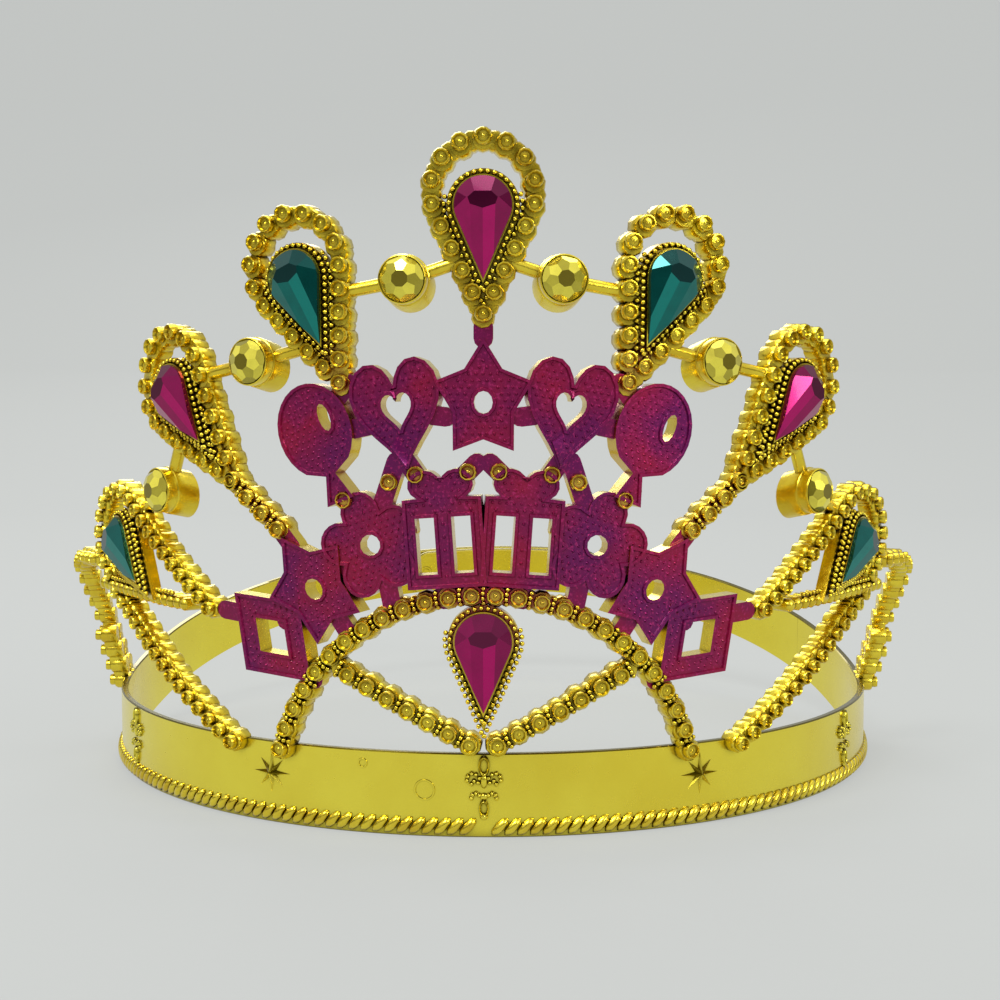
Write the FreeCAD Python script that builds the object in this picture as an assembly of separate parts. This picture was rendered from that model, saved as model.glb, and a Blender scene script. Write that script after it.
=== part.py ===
"""Party tiara: a gold moulded headband with a jewelled openwork front and an overlap fastening behind.

Frame: +Z up, -Y to the front, origin on the resting plane at the centre of the head ring.
Places on the openwork are given as (s, z): s is the distance round its front face from the middle,
positive towards +X, and z is the height above the band's upper edge.
"""
import FreeCAD, Part
import os
from math import asin, atan2, cos, degrees, hypot, pi, radians, sin, sqrt, tan

from FreeCAD import Placement, Rotation, Vector

# ---------------------------------------------------------------- head ring
RING_RADIUS = 75.0        # outer face of the band
BAND_WALL = 1.3
BAND_HEIGHT = 13.8
HINGE_ANGLE = 115.0       # where the flexible rear straps begin, from the front
BACK_RISE_BOTTOM = 0.293  # slope of the lower edge behind the ring's centre
BACK_RISE_TOP = 0.245     # slope of the upper edge behind the ring's centre
RISE_BLEND = 18.0         # half length of the curve that leads into those slopes
FLEX_GAP = 0.10           # running gap round each strap's root

# ---------------------------------------------------------------- rear fastening
STRAP_TIP_ANGLE = 161.0   # each strap passes the middle of the back and ends here on the other side
STRAP_GAP = 0.43          # between the straps where they lap
TIP_ROUND = 5.0           # radius of a strap's rounded end
PEG_ANGLE = 165.5
PEG_RADIUS = 1.2
PEG_STAND_OUT = 0.35      # peg beyond the outer strap's face
SLOT_TRAVEL = 3.5         # how far the peg can slide along its slot
SLOT_CLEARANCE = 0.25
SLOT_PITCH = 9.0
SLOT_COUNT = 3

# ---------------------------------------------------------------- band ornament
ROPE_HEIGHT = 2.8
ROPE_DEPTH = 0.9
ROPE_EDGE = 0.4           # plain lip below the rope
ROPE_STOP = 3.0           # degrees of plain band before each strap's root
EMBOSS_DEPTH = 0.6
EMBOSS_ROOT = 0.4         # emblem's depth inside the band's face, before it is trimmed
STAR_RADIUS = 4.0
STAR_INNER = 1.5
STAR_ANGLE = 28.5
LILY_HEIGHT = 10.2
LILY_WIDTH = 5.6
LILY_ANGLES = (0.0, 60.5, -60.5)

# ---------------------------------------------------------------- openwork
# heights of the openwork are above the band's upper edge
FRONT_PROUD = 3.0         # openwork's front face stands this far outside the band
BEAD_LENGTH = 4.2
BEAD_RADIUS = 1.98
BEAD_LAP = 0.16           # neighbouring beads run into each other by this
SIDE_FLARE = 6.9          # the openwork leans out by this at the two ends
FLARE_START = 50.0
FLARE_END = 90.0
FLARE_HEIGHT = 24.0

# ---------------------------------------------------------------- jewels
GEM_RADIUS = 4.55
GEM_TAIL = 11.45          # from the centre of the gem's round head to its point
GEM_SEAT = 1.3            # depth of gem inside the rim
GEM_CROWN = 2.2
GEM_TABLE = 0.42          # table's size as a share of the outline
RIM_WIDTH = 1.6
SETTING_BACK = -3.4
SETTING_FRONT = -0.2
LOOP_CLEARANCE = 3.85     # from the gem's edge to the loop's bead centres, at the head
HEAD_RISE = 1.85          # loop's head centre above the gem's head centre
WEB_DROP = 1.5            # the web fills the loop below this level
WEB_INSET = 1.6           # web's front behind the rim's
GEM_SIDES = 14

# name: gem place (s, z), lean, length of the bead loop's tail
LOOPS = {
    "centre": ((0.0, 84.0), 0.0, 19.2),
    "upper": ((29.9, 73.3), 24.0, 20.6),
    "middle": ((57.4, 55.8), 45.0, 23.0),
}
LOWER_GEM = (77.0, 29.1)
LOWER_LEAN = 58.0
LOWER_START = -62.0       # where the lowest loops' open bead strand begins on its round head
LOWER_STRAND_END = (51.0, 21.6)
LOWER_WEB_TAIL = 19.0
LOW_CENTRE_GEM = (0.0, 15.2)

# ---------------------------------------------------------------- round cups between the loops
CUP_RADIUS = 4.15
CUP_BACK = -5.6
CUP_FRONT = 0.8
CUP_LIP = 0.85            # wall round the stone
STONE_FIT = 0.05          # glue gap round the stone
STONE_HEIGHT = 1.7
STONE_SEAT = 0.9
STONE_TABLE = 0.45        # flat top's size as a share of the stone's
CUP_PLACES = {"upper": (12.7, 76.0), "middle": (40.1, 63.2), "lower": (63.4, 41.2)}
# both ends of each link bar, loop side to loop side, through the cup
CUP_LINKS = {
    "upper": ((4.5, 78.6), (23.0, 74.3)),
    "middle": ((31.2, 65.2), (51.0, 61.3)),
    "lower": ((60.0, 48.8), (74.2, 36.9)),
}
LINK_RADIUS = 1.1

# ---------------------------------------------------------------- strands
FOOT_DROP = 0.6           # feet reach down over the band's edge by this
ARCH_TOP = 26.0
ARCH_RADIUS = 37.0
KNOT = (26.0, 14.4)
VEE_FOOT = (2.3, 1.8)
LONG_STRUT = ((83.0, 21.4), (46.0, -FOOT_DROP))
FAR_STRUT = ((93.5, 26.7), (103.0, 26.2), (112.0, 23.2), (118.5, 14.2), (119.5, -FOOT_DROP))
FAR_STUB = ((115.8, -FOOT_DROP), (113.6, 9.0))  # short second leg beside each end strut
CHAIN_END = (35.4, 35.8)
BASE_ROW = ((88.5, 22.6), (57.5, 21.8))
BASE_BEAD_RADIUS = 1.15
BASE_BEAD_LAP = 0.2

# ---------------------------------------------------------------- painted plaques
PLAQUE_BACK = -4.2
PLAQUE_FRONT = -0.6
PLAQUE_WIDTH = 13.8
PLAQUE_HEIGHT = 20.5
PLAQUE_STROKE = 3.6
TIE_WIDTH = 2.2
TIE_INSET = 0.7           # ties are thinner than the plaques by this at front and back
UPPER_ROW = {"centre": ((0.0, 57.0), 0.0), "inner": ((13.9, 54.8), 10.0), "outer": ((27.4, 50.2), 22.0)}
LOWER_ROW = {
    "first": ((6.5, 37.4), 4.0),
    "second": ((18.6, 33.8), 19.0),
    "third": ((28.7, 26.6), 36.0),
    "fourth": ((36.9, 18.0), 48.0),
}
# short bars that tie neighbouring plaques, loops and strands, right-hand half
TIES = (
    ((4.5, 54.2), (9.8, 54.8)), ((17.5, 53.2), (24.2, 51.8)), ((0.0, 70.2), (0.0, 65.2)),
    ((21.5, 61.0), (25.0, 56.2)), ((0.0, 48.2), (5.0, 43.2)), ((13.5, 48.7), (8.5, 41.7)),
    ((13.8, 48.7), (17.0, 39.2)), ((25.8, 43.7), (20.5, 38.2)), ((11.0, 37.0), (15.0, 34.8)),
    ((22.0, 31.7), (26.0, 29.2)), ((31.0, 24.2), (35.5, 19.7)), ((35.8, 36.2), (31.8, 31.7)),
    ((49.0, 21.8), (42.8, 21.4)), ((6.0, 29.7), (6.5, 23.7)), ((16.0, 28.7), (14.5, 21.7)),
    ((25.0, 22.7), (21.5, 17.7)), ((33.0, 13.7), (27.5, 10.7)),
)

BIG = 400.0
FLOOR_SINK = 5.0          # walls are built from below the resting plane and trimmed to it
WALL_SPAN = 60.0
SLIVER = 0.5              # smallest volume that trimming leaves as a piece, mm3
FACE_RADIUS = RING_RADIUS + FRONT_PROUD
MIDDLE_RADIUS = RING_RADIUS - BAND_WALL / 2
BEAD_PITCH = 2 * BEAD_RADIUS - BEAD_LAP
BASE_BEAD_PITCH = 2 * BASE_BEAD_RADIUS - BASE_BEAD_LAP
LOOP_RADIUS = GEM_RADIUS + LOOP_CLEARANCE
CUP_BORE = CUP_RADIUS - CUP_LIP
SIDES = (("left", -1), ("right", 1))
parts = {}


# ---------------------------------------------------------------- places on the ring
def smooth(t):
    t = min(1.0, max(0.0, t))
    return t * t * (3 - 2 * t)


def face_radius(angle, z):
    """Radius of the openwork's front face at an angle (degrees from the front) and a height."""
    lean = smooth((abs(angle) - FLARE_START) / (FLARE_END - FLARE_START))
    rise = min(1.0, max(0.0, z / FLARE_HEIGHT))
    return FACE_RADIUS + SIDE_FLARE * lean * rise


def on_face(s, z, spin=0.0):
    """Local x runs round the ring, y up and z out of it; spin leans the top towards +s."""
    angle = degrees(s / FACE_RADIUS)
    radius = face_radius(angle, z)
    upright = Rotation(Vector(0, 0, 1), angle) * Rotation(Vector(1, 0, 0), 90)
    return Placement(plan_point(radius, angle, BAND_HEIGHT + z), upright * Rotation(Vector(0, 0, 1), -spin))


def shifted(place, x, y, lean):
    """The (s, z) of a local point x, y of a piece that stands at place and leans by lean degrees."""
    turn = radians(lean)
    return place[0] + x * cos(turn) + y * sin(turn), place[1] - x * sin(turn) + y * cos(turn)


def plan_point(radius, angle, z=0.0):
    return Vector(radius * sin(radians(angle)), -radius * cos(radians(angle)), z)


# ---------------------------------------------------------------- small builders
def prism(points, back, front):
    wire = Part.makePolygon([Vector(x, y, back) for x, y in points] + [Vector(*points[0], back)])
    return Part.Face(wire).extrude(Vector(0, 0, front - back))


def placed(shape, place, spin=0.0):
    shape = shape.copy()
    shape.Placement = on_face(place[0], place[1], spin)
    return shape


def fused(shapes):
    shapes = list(shapes)
    if len(shapes) == 1:
        return shapes[0]
    return shapes[0].multiFuse(shapes[1:])


def bead(place, radius=BEAD_RADIUS):
    body = Part.makeCylinder(radius, BEAD_LENGTH, Vector(0, 0, -BEAD_LENGTH))
    return placed(body, place)


def along(points, pitch):
    """Points spaced evenly along a polyline, both ends included."""
    runs = [hypot(b[0] - a[0], b[1] - a[1]) for a, b in zip(points, points[1:])]
    count = max(1, round(sum(runs) / pitch))
    step = sum(runs) / count
    out = []
    for i in range(count + 1):
        d = min(i * step, sum(runs) - 1e-9)
        k = 0
        while d > runs[k]:
            d -= runs[k]
            k += 1
        t = d / runs[k]
        a, b = points[k], points[k + 1]
        out.append((a[0] + (b[0] - a[0]) * t, a[1] + (b[1] - a[1]) * t))
    return out


def strand(points, radius=BEAD_RADIUS, pitch=BEAD_PITCH):
    return fused(bead(p, radius) for p in along(points, pitch))


def bar(a, b, width, back, front):
    """A straight bar on the face between two places."""
    length = hypot(b[0] - a[0], b[1] - a[1])
    middle = ((a[0] + b[0]) / 2, (a[1] + b[1]) / 2)
    box = Part.makeBox(length, width, front - back, Vector(-length / 2, -width / 2, back))
    return placed(box, middle, -degrees(atan2(b[1] - a[1], b[0] - a[0])))


def mirrored(place, side):
    return side * place[0], place[1]


def solids_of(shape):
    """The shape's solids without slivers left by trimming."""
    keep = [s for s in shape.Solids if s.Volume > SLIVER]
    return keep[0] if len(keep) == 1 else Part.makeCompound(keep)


def add(name, shape, against=None):
    """Store a piece, trimmed to meet the pieces already there."""
    for other, solid in parts.items():
        if against is not None and other not in against:
            continue
        if shape.BoundBox.intersect(solid.BoundBox) and shape.distToShape(solid)[0] < 1e-3:
            shape = shape.cut(solid)
    parts[name] = solids_of(shape)


# ---------------------------------------------------------------- band and rear straps
def edge_line(height, slope):
    """Points of the line that is level in front and climbs behind, with a tangent arc between."""
    turn = atan2(slope, 1.0)
    reach = RISE_BLEND
    climb = Vector(0, cos(turn), sin(turn))
    corner = Vector(0, 0, height)
    start = corner - Vector(0, reach, 0)
    end = corner + climb * reach
    radius = reach / tan(turn / 2)
    inset = radius * (1 / cos(turn / 2) - 1)
    middle = corner + Vector(0, -sin(turn / 2), cos(turn / 2)) * inset
    return Vector(0, -BIG, height), start, middle, end, corner + climb * BIG


def side_profile(low, high):
    """Everything between the lower edge raised by low and the edge (height, slope) high."""
    a = edge_line(low, BACK_RISE_BOTTOM)
    b = edge_line(*high)
    edges = []
    for p in (a, b):
        edges.append([
            Part.LineSegment(p[0], p[1]).toShape(),
            Part.Arc(p[1], p[2], p[3]).toShape(),
            Part.LineSegment(p[3], p[4]).toShape(),
        ])
    front = Part.LineSegment(a[0], b[0]).toShape()
    back = Part.LineSegment(a[4], b[4]).toShape()
    wire = Part.Wire(edges[0] + [back] + list(reversed(edges[1])) + [front])
    face = Part.Face(wire)
    face.translate(Vector(-BIG / 2, 0, 0))
    return face.extrude(Vector(BIG, 0, 0))


def ring_wall(outer, inner, start, end, centre=Vector(0, 0, 0)):
    """An upright wall between two radii and two angles about a centre."""
    middle = (start + end) / 2
    arcs = []
    for radius in (outer, inner):
        a, m, b = (centre + plan_point(radius, angle, -FLOOR_SINK) for angle in (start, middle, end))
        arcs.append(Part.Arc(a, m, b).toShape())
    ends = []
    for angle in (start, end):
        a = centre + plan_point(outer, angle, -FLOOR_SINK)
        b = centre + plan_point(inner, angle, -FLOOR_SINK)
        ends.append(Part.LineSegment(a, b).toShape())
    wire = Part.Wire(Part.__sortEdges__(arcs + ends))
    return Part.Face(wire).extrude(Vector(0, 0, WALL_SPAN))


def post(radius, centre):
    return Part.makeCylinder(radius, WALL_SPAN, Vector(centre.x, centre.y, -FLOOR_SINK))


BAND_PROFILE = side_profile(0.0, (BAND_HEIGHT, BACK_RISE_TOP))


def front_band():
    wall = ring_wall(RING_RADIUS, RING_RADIUS - BAND_WALL, -HINGE_ANGLE, HINGE_ANGLE)
    for _, side in SIDES:
        wall = wall.cut(post(BAND_WALL / 2 + FLEX_GAP, plan_point(MIDDLE_RADIUS, side * HINGE_ANGLE)))
    return wall.common(BAND_PROFILE)


def strap_frame(side):
    """Centre and middle radius of a rear strap: the left one runs outside, the right one inside."""
    lap = 2 * (1 - cos(pi - radians(HINGE_ANGLE)))
    spread = -side * (BAND_WALL + STRAP_GAP) / lap
    root = plan_point(1.0, side * HINGE_ANGLE)
    return root * -spread, MIDDLE_RADIUS + spread


def strap_place(side, angle):
    """Placement on a strap's middle surface, local z outwards, at a ring angle behind the root."""
    centre, radius = strap_frame(side)
    ray = plan_point(1.0, angle)
    along_ray = centre.dot(ray)
    reach = along_ray + sqrt(along_ray ** 2 - centre.dot(centre) + radius ** 2)
    point = ray * reach
    normal = point - centre
    turn = degrees(atan2(normal.x, -normal.y))
    depth = -MIDDLE_RADIUS * cos(radians(angle))
    bottom = depth * BACK_RISE_BOTTOM
    top = BAND_HEIGHT + depth * BACK_RISE_TOP
    point.z = (bottom + top) / 2
    upright = Rotation(Vector(0, 0, 1), turn) * Rotation(Vector(1, 0, 0), 90)
    return Placement(point, upright), top - bottom


def rear_strap(side):
    centre, radius = strap_frame(side)
    tip = side * (360.0 - STRAP_TIP_ANGLE)
    half = BAND_WALL / 2
    wall = ring_wall(radius + half, radius - half, side * HINGE_ANGLE, tip, centre)
    wall = wall.fuse(post(half, plan_point(MIDDLE_RADIUS, side * HINGE_ANGLE)))
    wall = wall.common(BAND_PROFILE)
    # rounded end
    back_off = TIP_ROUND / RING_RADIUS
    place, height = strap_place(side, tip - side * degrees(back_off))
    corner = Part.makeBox(2 * height, 2 * height, 2 * FLOOR_SINK, Vector(0, -height, -FLOOR_SINK))
    corner = corner.cut(Part.makeCylinder(height / 2, 2 * FLOOR_SINK, Vector(0, 0, -FLOOR_SINK)))
    if side < 0:
        corner.rotate(Vector(0, 0, 0), Vector(0, 1, 0), 180)
    corner.Placement = place.multiply(corner.Placement)
    return wall.cut(corner)


def slotted(strap):
    """Cut the row of peg slots, the first at the peg and the rest towards the strap's end."""
    half = PEG_RADIUS + SLOT_CLEARANCE
    reach = SLOT_TRAVEL / 2
    for i in range(SLOT_COUNT):
        angle = -PEG_ANGLE - i * degrees(SLOT_PITCH / RING_RADIUS)
        slot = fused([
            Part.makeBox(2 * reach, 2 * half, 2 * FLOOR_SINK, Vector(-reach, -half, -FLOOR_SINK)),
            Part.makeCylinder(half, 2 * FLOOR_SINK, Vector(-reach, 0, -FLOOR_SINK)),
            Part.makeCylinder(half, 2 * FLOOR_SINK, Vector(reach, 0, -FLOOR_SINK)),
        ])
        slot.Placement = strap_place(-1, angle)[0]
        strap = strap.cut(slot)
    return strap


def closure_peg():
    """Peg from inside the right strap's wall to just beyond the left strap's outer face."""
    place, _ = strap_place(1, -PEG_ANGLE)
    outer, _ = strap_place(-1, -PEG_ANGLE)
    reach = (outer.Base - place.Base).Length + BAND_WALL / 2 + PEG_STAND_OUT
    peg = Part.makeCylinder(PEG_RADIUS, reach)
    peg.Placement = place
    return peg


# ---------------------------------------------------------------- band ornament
def rope_trim():
    reach = degrees((LILY_WIDTH / 2 + 0.4) / RING_RADIUS)
    section = side_profile(ROPE_EDGE, (ROPE_EDGE + ROPE_HEIGHT, BACK_RISE_BOTTOM))
    runs = []
    for _, side in SIDES:
        wall = ring_wall(RING_RADIUS + ROPE_DEPTH, RING_RADIUS, side * reach, side * (HINGE_ANGLE - ROPE_STOP))
        runs.append(wall.common(section))
    return Part.makeCompound(runs)


def star_points(count, outer, inner, stretch=1.0):
    points = []
    for i in range(2 * count):
        radius = outer if i % 2 == 0 else inner
        turn = pi * i / count
        points.append((radius * sin(turn), radius * cos(turn) * stretch))
    return points


def on_band(shape, angle):
    """Stand a flat emblem on the band's outer face, midway between the rope and the upper edge."""
    level = (ROPE_EDGE + ROPE_HEIGHT + BAND_HEIGHT) / 2
    upright = Rotation(Vector(0, 0, 1), angle) * Rotation(Vector(1, 0, 0), 90)
    shape = shape.copy()
    shape.Placement = Placement(plan_point(RING_RADIUS, angle, level), upright)
    return shape


def lily():
    half = LILY_HEIGHT / 2
    wide = LILY_WIDTH / 2
    stem = [(0, half), (0.75, 1.2), (0.6, -half), (-0.6, -half), (-0.75, 1.2)]
    pieces = [prism(stem, -EMBOSS_ROOT, EMBOSS_DEPTH)]
    for level, reach in ((half * 0.33, wide), (-half * 0.33, wide * 0.85)):
        arm = [(-reach, level + 0.9), (0, level - 0.7), (reach, level + 0.9), (0, level + 0.7)]
        pieces.append(prism(arm, -EMBOSS_ROOT, EMBOSS_DEPTH))
    return fused(pieces)


def band_emblems():
    star = prism(star_points(8, STAR_RADIUS, STAR_INNER), -EMBOSS_ROOT, EMBOSS_DEPTH)
    out = [on_band(star, side * STAR_ANGLE) for _, side in SIDES]
    out += [on_band(lily(), angle) for angle in LILY_ANGLES]
    return Part.makeCompound(out)


# ---------------------------------------------------------------- jewels and their loops
def pear(radius, tail, sides=GEM_SIDES):
    """Outline of a pear: a round head about the origin and straight sides to a point below."""
    open_angle = asin(radius / tail)
    points = []
    for i in range(sides):
        turn = -open_angle + (pi + 2 * open_angle) * i / (sides - 1)
        points.append((radius * cos(turn), radius * sin(turn)))
    return points + [(0.0, -tail)]


def gem():
    rim = pear(GEM_RADIUS, GEM_TAIL)
    girdle = prism(rim, -GEM_SEAT, 0.0)
    drop = GEM_RADIUS * 0.15
    table = [(x * GEM_TABLE, y * GEM_TABLE - drop) for x, y in rim]
    wires = []
    for points, level in ((rim, 0.0), (table, GEM_CROWN)):
        wires.append(Part.makePolygon([Vector(x, y, level) for x, y in points] + [Vector(*points[0], level)]))
    crown = Part.makeLoft(wires, True, True)
    return girdle.fuse(crown).removeSplitter()


def setting(loop_tail=None):
    """Rim round the gem, with the web that fills the lower half of its loop."""
    grow = (GEM_RADIUS + RIM_WIDTH) / GEM_RADIUS
    body = prism(pear(GEM_RADIUS + RIM_WIDTH, GEM_TAIL * grow), SETTING_BACK, SETTING_FRONT)
    if loop_tail is None:
        return body
    web = prism(pear(LOOP_RADIUS, loop_tail), SETTING_BACK, SETTING_FRONT - WEB_INSET)
    web.translate(Vector(0, HEAD_RISE, 0))
    web = web.common(Part.makeBox(40, 40, 20, Vector(-20, -40 - WEB_DROP, -10)))
    return fused([body, web])


def head_centre(place, lean):
    """Centre of the gem's round head, when place is the middle of the gem's length."""
    return shifted(place, 0.0, (GEM_TAIL - GEM_RADIUS) / 2, lean)


def loop_outline(tail):
    """Closed polyline through a loop's bead centres, about the gem's round head."""
    outline = pear(LOOP_RADIUS, tail, 28)
    return [(x, y + HEAD_RISE) for x, y in [outline[-1]] + outline]


def bead_loop(tail):
    """Beads of one loop, side by side and parallel, about the gem's round head."""
    centres = along(loop_outline(tail), BEAD_PITCH)[:-1]
    beads = [Part.makeCylinder(BEAD_RADIUS, BEAD_LENGTH, Vector(x, y, -BEAD_LENGTH)) for x, y in centres]
    return fused(beads).removeSplitter()


def lower_strand_path(side):
    """Open loop of the lowest jewels: round the head and on to the plaques."""
    head = shifted(head_centre(LOWER_GEM, LOWER_LEAN), 0.0, HEAD_RISE, LOWER_LEAN)
    reach = hypot(head[0] - LOWER_STRAND_END[0], head[1] - LOWER_STRAND_END[1])
    slope = atan2(head[1] - LOWER_STRAND_END[1], head[0] - LOWER_STRAND_END[0])
    last = slope + asin(LOOP_RADIUS / reach) + pi / 2
    first = radians(LOWER_START)
    points = []
    for i in range(25):
        turn = first + (last - first) * i / 24
        points.append((head[0] + LOOP_RADIUS * cos(turn), head[1] + LOOP_RADIUS * sin(turn)))
    points.append(LOWER_STRAND_END)
    return [mirrored(p, side) for p in points]


# ---------------------------------------------------------------- cups
def cup():
    outer = Part.makeCylinder(CUP_RADIUS, CUP_FRONT - CUP_BACK, Vector(0, 0, CUP_BACK))
    bore = Part.makeCylinder(CUP_BORE, STONE_SEAT, Vector(0, 0, CUP_FRONT - STONE_SEAT))
    return outer.cut(bore)


def stone():
    radius = CUP_BORE - STONE_FIT
    seat = Part.makeCylinder(radius, STONE_SEAT, Vector(0, 0, CUP_FRONT - STONE_SEAT))
    crown = Part.makeCone(radius, radius * STONE_TABLE, STONE_HEIGHT, Vector(0, 0, CUP_FRONT))
    return seat.fuse(crown).removeSplitter()


def linked_cup(name, side):
    place = mirrored(CUP_PLACES[name], side)
    ends = [mirrored(p, side) for p in CUP_LINKS[name]]
    depth = -BEAD_LENGTH / 2
    bars = [bar(place, end, 2 * LINK_RADIUS, depth - LINK_RADIUS, depth + LINK_RADIUS) for end in ends]
    pocket = placed(Part.makeCylinder(CUP_BORE, 9.0, Vector(0, 0, CUP_FRONT - STONE_SEAT)), place)
    return fused([placed(cup(), place)] + bars).cut(pocket)


# ---------------------------------------------------------------- strands
def arch_path():
    centre = ARCH_TOP - ARCH_RADIUS
    last = asin((-FOOT_DROP - centre) / ARCH_RADIUS)
    points = []
    for i in range(41):
        turn = last + (pi - 2 * last) * i / 40
        points.append((ARCH_RADIUS * cos(turn), centre + ARCH_RADIUS * sin(turn)))
    return points


# ---------------------------------------------------------------- painted plaques
def ellipse(width, height, count=20, x=0.0, y=0.0):
    out = []
    for i in range(count):
        turn = 2 * pi * i / count
        out.append((x + width / 2 * cos(turn), y + height / 2 * sin(turn)))
    return out


def flat(points):
    return prism(points, PLAQUE_BACK, PLAQUE_FRONT)


def star_plaque():
    outer = PLAQUE_HEIGHT * 0.5
    return flat(star_points(5, outer * 0.80, outer * 0.50, 1.2)).cut(flat(ellipse(3.0, 3.6, 12, 0, -0.3)))


def diamond_plaque():
    half = PLAQUE_HEIGHT / 2
    wide = PLAQUE_WIDTH * 0.58
    inner = 1 - PLAQUE_STROKE / (wide * cos(atan2(wide, half)))
    outer = [(0, half), (wide, 0), (0, -half), (-wide, 0)]
    return flat(outer).cut(flat([(x * inner, y * inner) for x, y in outer]))


def heart_outline(width, height, y):
    points = []
    for i in range(32):
        turn = 2 * pi * i / 32
        across = sin(turn) ** 3
        up = (13 * cos(turn) - 5 * cos(2 * turn) - 2 * cos(3 * turn) - cos(4 * turn)) / 17
        points.append((across * width / 2, y + up * height / 1.74))
    return points


def heart_plaque():
    outer = flat(heart_outline(PLAQUE_WIDTH * 1.08, PLAQUE_HEIGHT * 0.92, 1.0))
    return outer.cut(flat(heart_outline(PLAQUE_WIDTH * 0.36, PLAQUE_HEIGHT * 0.30, 0.8)))


def balloon_plaque():
    body = flat(ellipse(PLAQUE_WIDTH * 0.95, PLAQUE_HEIGHT * 0.76, 24, 0, 2.0))
    knot = flat([(-2.6, -PLAQUE_HEIGHT / 2), (2.6, -PLAQUE_HEIGHT / 2), (0, -3.0)])
    gleam = flat(ellipse(2.0, 4.6, 12, 2.4, 3.4))
    return fused([body, knot]).cut(gleam)


def gift_plaque():
    wide = PLAQUE_WIDTH * 0.46
    low = -PLAQUE_HEIGHT / 2
    lid = PLAQUE_HEIGHT * 0.2
    box = flat([(-wide, low), (wide, low), (wide, lid), (-wide, lid)])
    bows = [flat(ellipse(5.4, 4.6, 14, x, lid + 2.4)) for x in (-2.5, 2.5)]
    gift = fused([box] + bows)
    rib = 1.5
    for x0, x1 in ((-wide + 1.9, -rib), (rib, wide - 1.9)):
        gift = gift.cut(flat([(x0, low + 2.4), (x1, low + 2.4), (x1, lid - 3.2), (x0, lid - 3.2)]))
    return gift


def flower_plaque():
    petals = []
    for i in range(5):
        turn = 2 * pi * i / 5
        petals.append(flat(ellipse(7.6, 8.0, 16, 4.3 * sin(turn), 5.0 * cos(turn))))
    return fused(petals).cut(flat(ellipse(3.4, 3.4, 12)))


UPPER_MOTIFS = {"centre": star_plaque, "inner": heart_plaque, "outer": balloon_plaque}
LOWER_MOTIFS = {"first": gift_plaque, "second": flower_plaque, "third": star_plaque, "fourth": diamond_plaque}


# ---------------------------------------------------------------- assembly
def build():
    add("front_band", front_band())
    add("left_strap", slotted(rear_strap(-1)), ())
    add("right_strap", rear_strap(1), ())
    add("closure_peg", closure_peg(), ("right_strap",))
    add("rope_trim", rope_trim(), ("front_band",))
    add("band_emblems", band_emblems(), ("front_band", "rope_trim"))

    for name, (place, lean, tail) in LOOPS.items():
        for side_name, side in ((("", 1),) if name == "centre" else SIDES):
            label = name if name == "centre" else name + "_" + side_name
            spot = mirrored(place, side)
            head = head_centre(spot, side * lean)
            add("loop_" + label, placed(bead_loop(tail), head, side * lean))
            add("gem_" + label, placed(gem(), head, side * lean))
            add("setting_" + label, placed(setting(tail), head, side * lean))
    for side_name, side in SIDES:
        head = head_centre(mirrored(LOWER_GEM, side), side * LOWER_LEAN)
        add("loop_lower_" + side_name, strand(lower_strand_path(side)))
        add("gem_lower_" + side_name, placed(gem(), head, side * LOWER_LEAN))
        rim = placed(setting(LOWER_WEB_TAIL), head, side * LOWER_LEAN)
        add("setting_lower_" + side_name, rim)
    head = head_centre(LOW_CENTRE_GEM, 0.0)
    add("gem_low_centre", placed(gem(), head))
    add("setting_low_centre", placed(setting(), head))

    for name in CUP_PLACES:
        for side_name, side in SIDES:
            add("cup_" + name + "_" + side_name, linked_cup(name, side))
    stones = [placed(stone(), mirrored(p, side)) for p in CUP_PLACES.values() for _, side in SIDES]
    add("cup_stones", Part.makeCompound(stones))

    motifs = [("upper_" + k, UPPER_ROW[k], UPPER_MOTIFS[k]) for k in UPPER_ROW]
    motifs += [("lower_" + k, LOWER_ROW[k], LOWER_MOTIFS[k]) for k in LOWER_ROW]
    for name, (place, lean), motif in motifs:
        for side_name, side in ((("", 1),) if name == "upper_centre" else SIDES):
            label = name if name == "upper_centre" else name + "_" + side_name
            add("plaque_" + label, placed(motif(), mirrored(place, side), side * lean))

    add("arch_strand", strand(arch_path()))
    for side_name, side in SIDES:
        vee = [mirrored(p, side) for p in (KNOT, VEE_FOOT)]
        add("vee_strand_" + side_name, strand(vee))
        add("long_strut_" + side_name, strand([mirrored(p, side) for p in LONG_STRUT]))
        legs = [strand([mirrored(p, side) for p in path]) for path in (FAR_STRUT, FAR_STUB)]
        add("far_strut_" + side_name, fused(legs))
        place, lean, tail = LOOPS["middle"]
        start = shifted(head_centre(place, lean), 0.0, HEAD_RISE - tail, lean)
        add("chain_" + side_name, strand([mirrored(p, side) for p in (start, CHAIN_END)]))
    rows = []
    for _, side in SIDES:
        rows.append(strand([mirrored(p, side) for p in BASE_ROW], BASE_BEAD_RADIUS, BASE_BEAD_PITCH))
    add("base_rows", Part.makeCompound(rows))
    ties = []
    for a, b in TIES:
        for _, side in SIDES:
            if side < 0 and a[0] == 0 and b[0] == 0:
                continue
            tie = bar(mirrored(a, side), mirrored(b, side), TIE_WIDTH, PLAQUE_BACK + TIE_INSET, PLAQUE_FRONT - TIE_INSET)
            ties.append(tie)
    add("tie_bars", Part.makeCompound(ties))


build()
os.makedirs("parts", exist_ok=True)
for name, shape in parts.items():
    shape.exportStep("parts/" + name + ".step")
print(len(parts), "nodes")
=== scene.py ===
"""Looks of the party tiara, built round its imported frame.

Lengths are in millimetres until a piece is finished, and metres after that. -Y is the tiara's front.
"""
import random
from math import asin, atan2, cos, degrees, hypot, pi, radians, sin, sqrt

import bmesh
import bpy
from mathutils import Matrix, Vector


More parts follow.
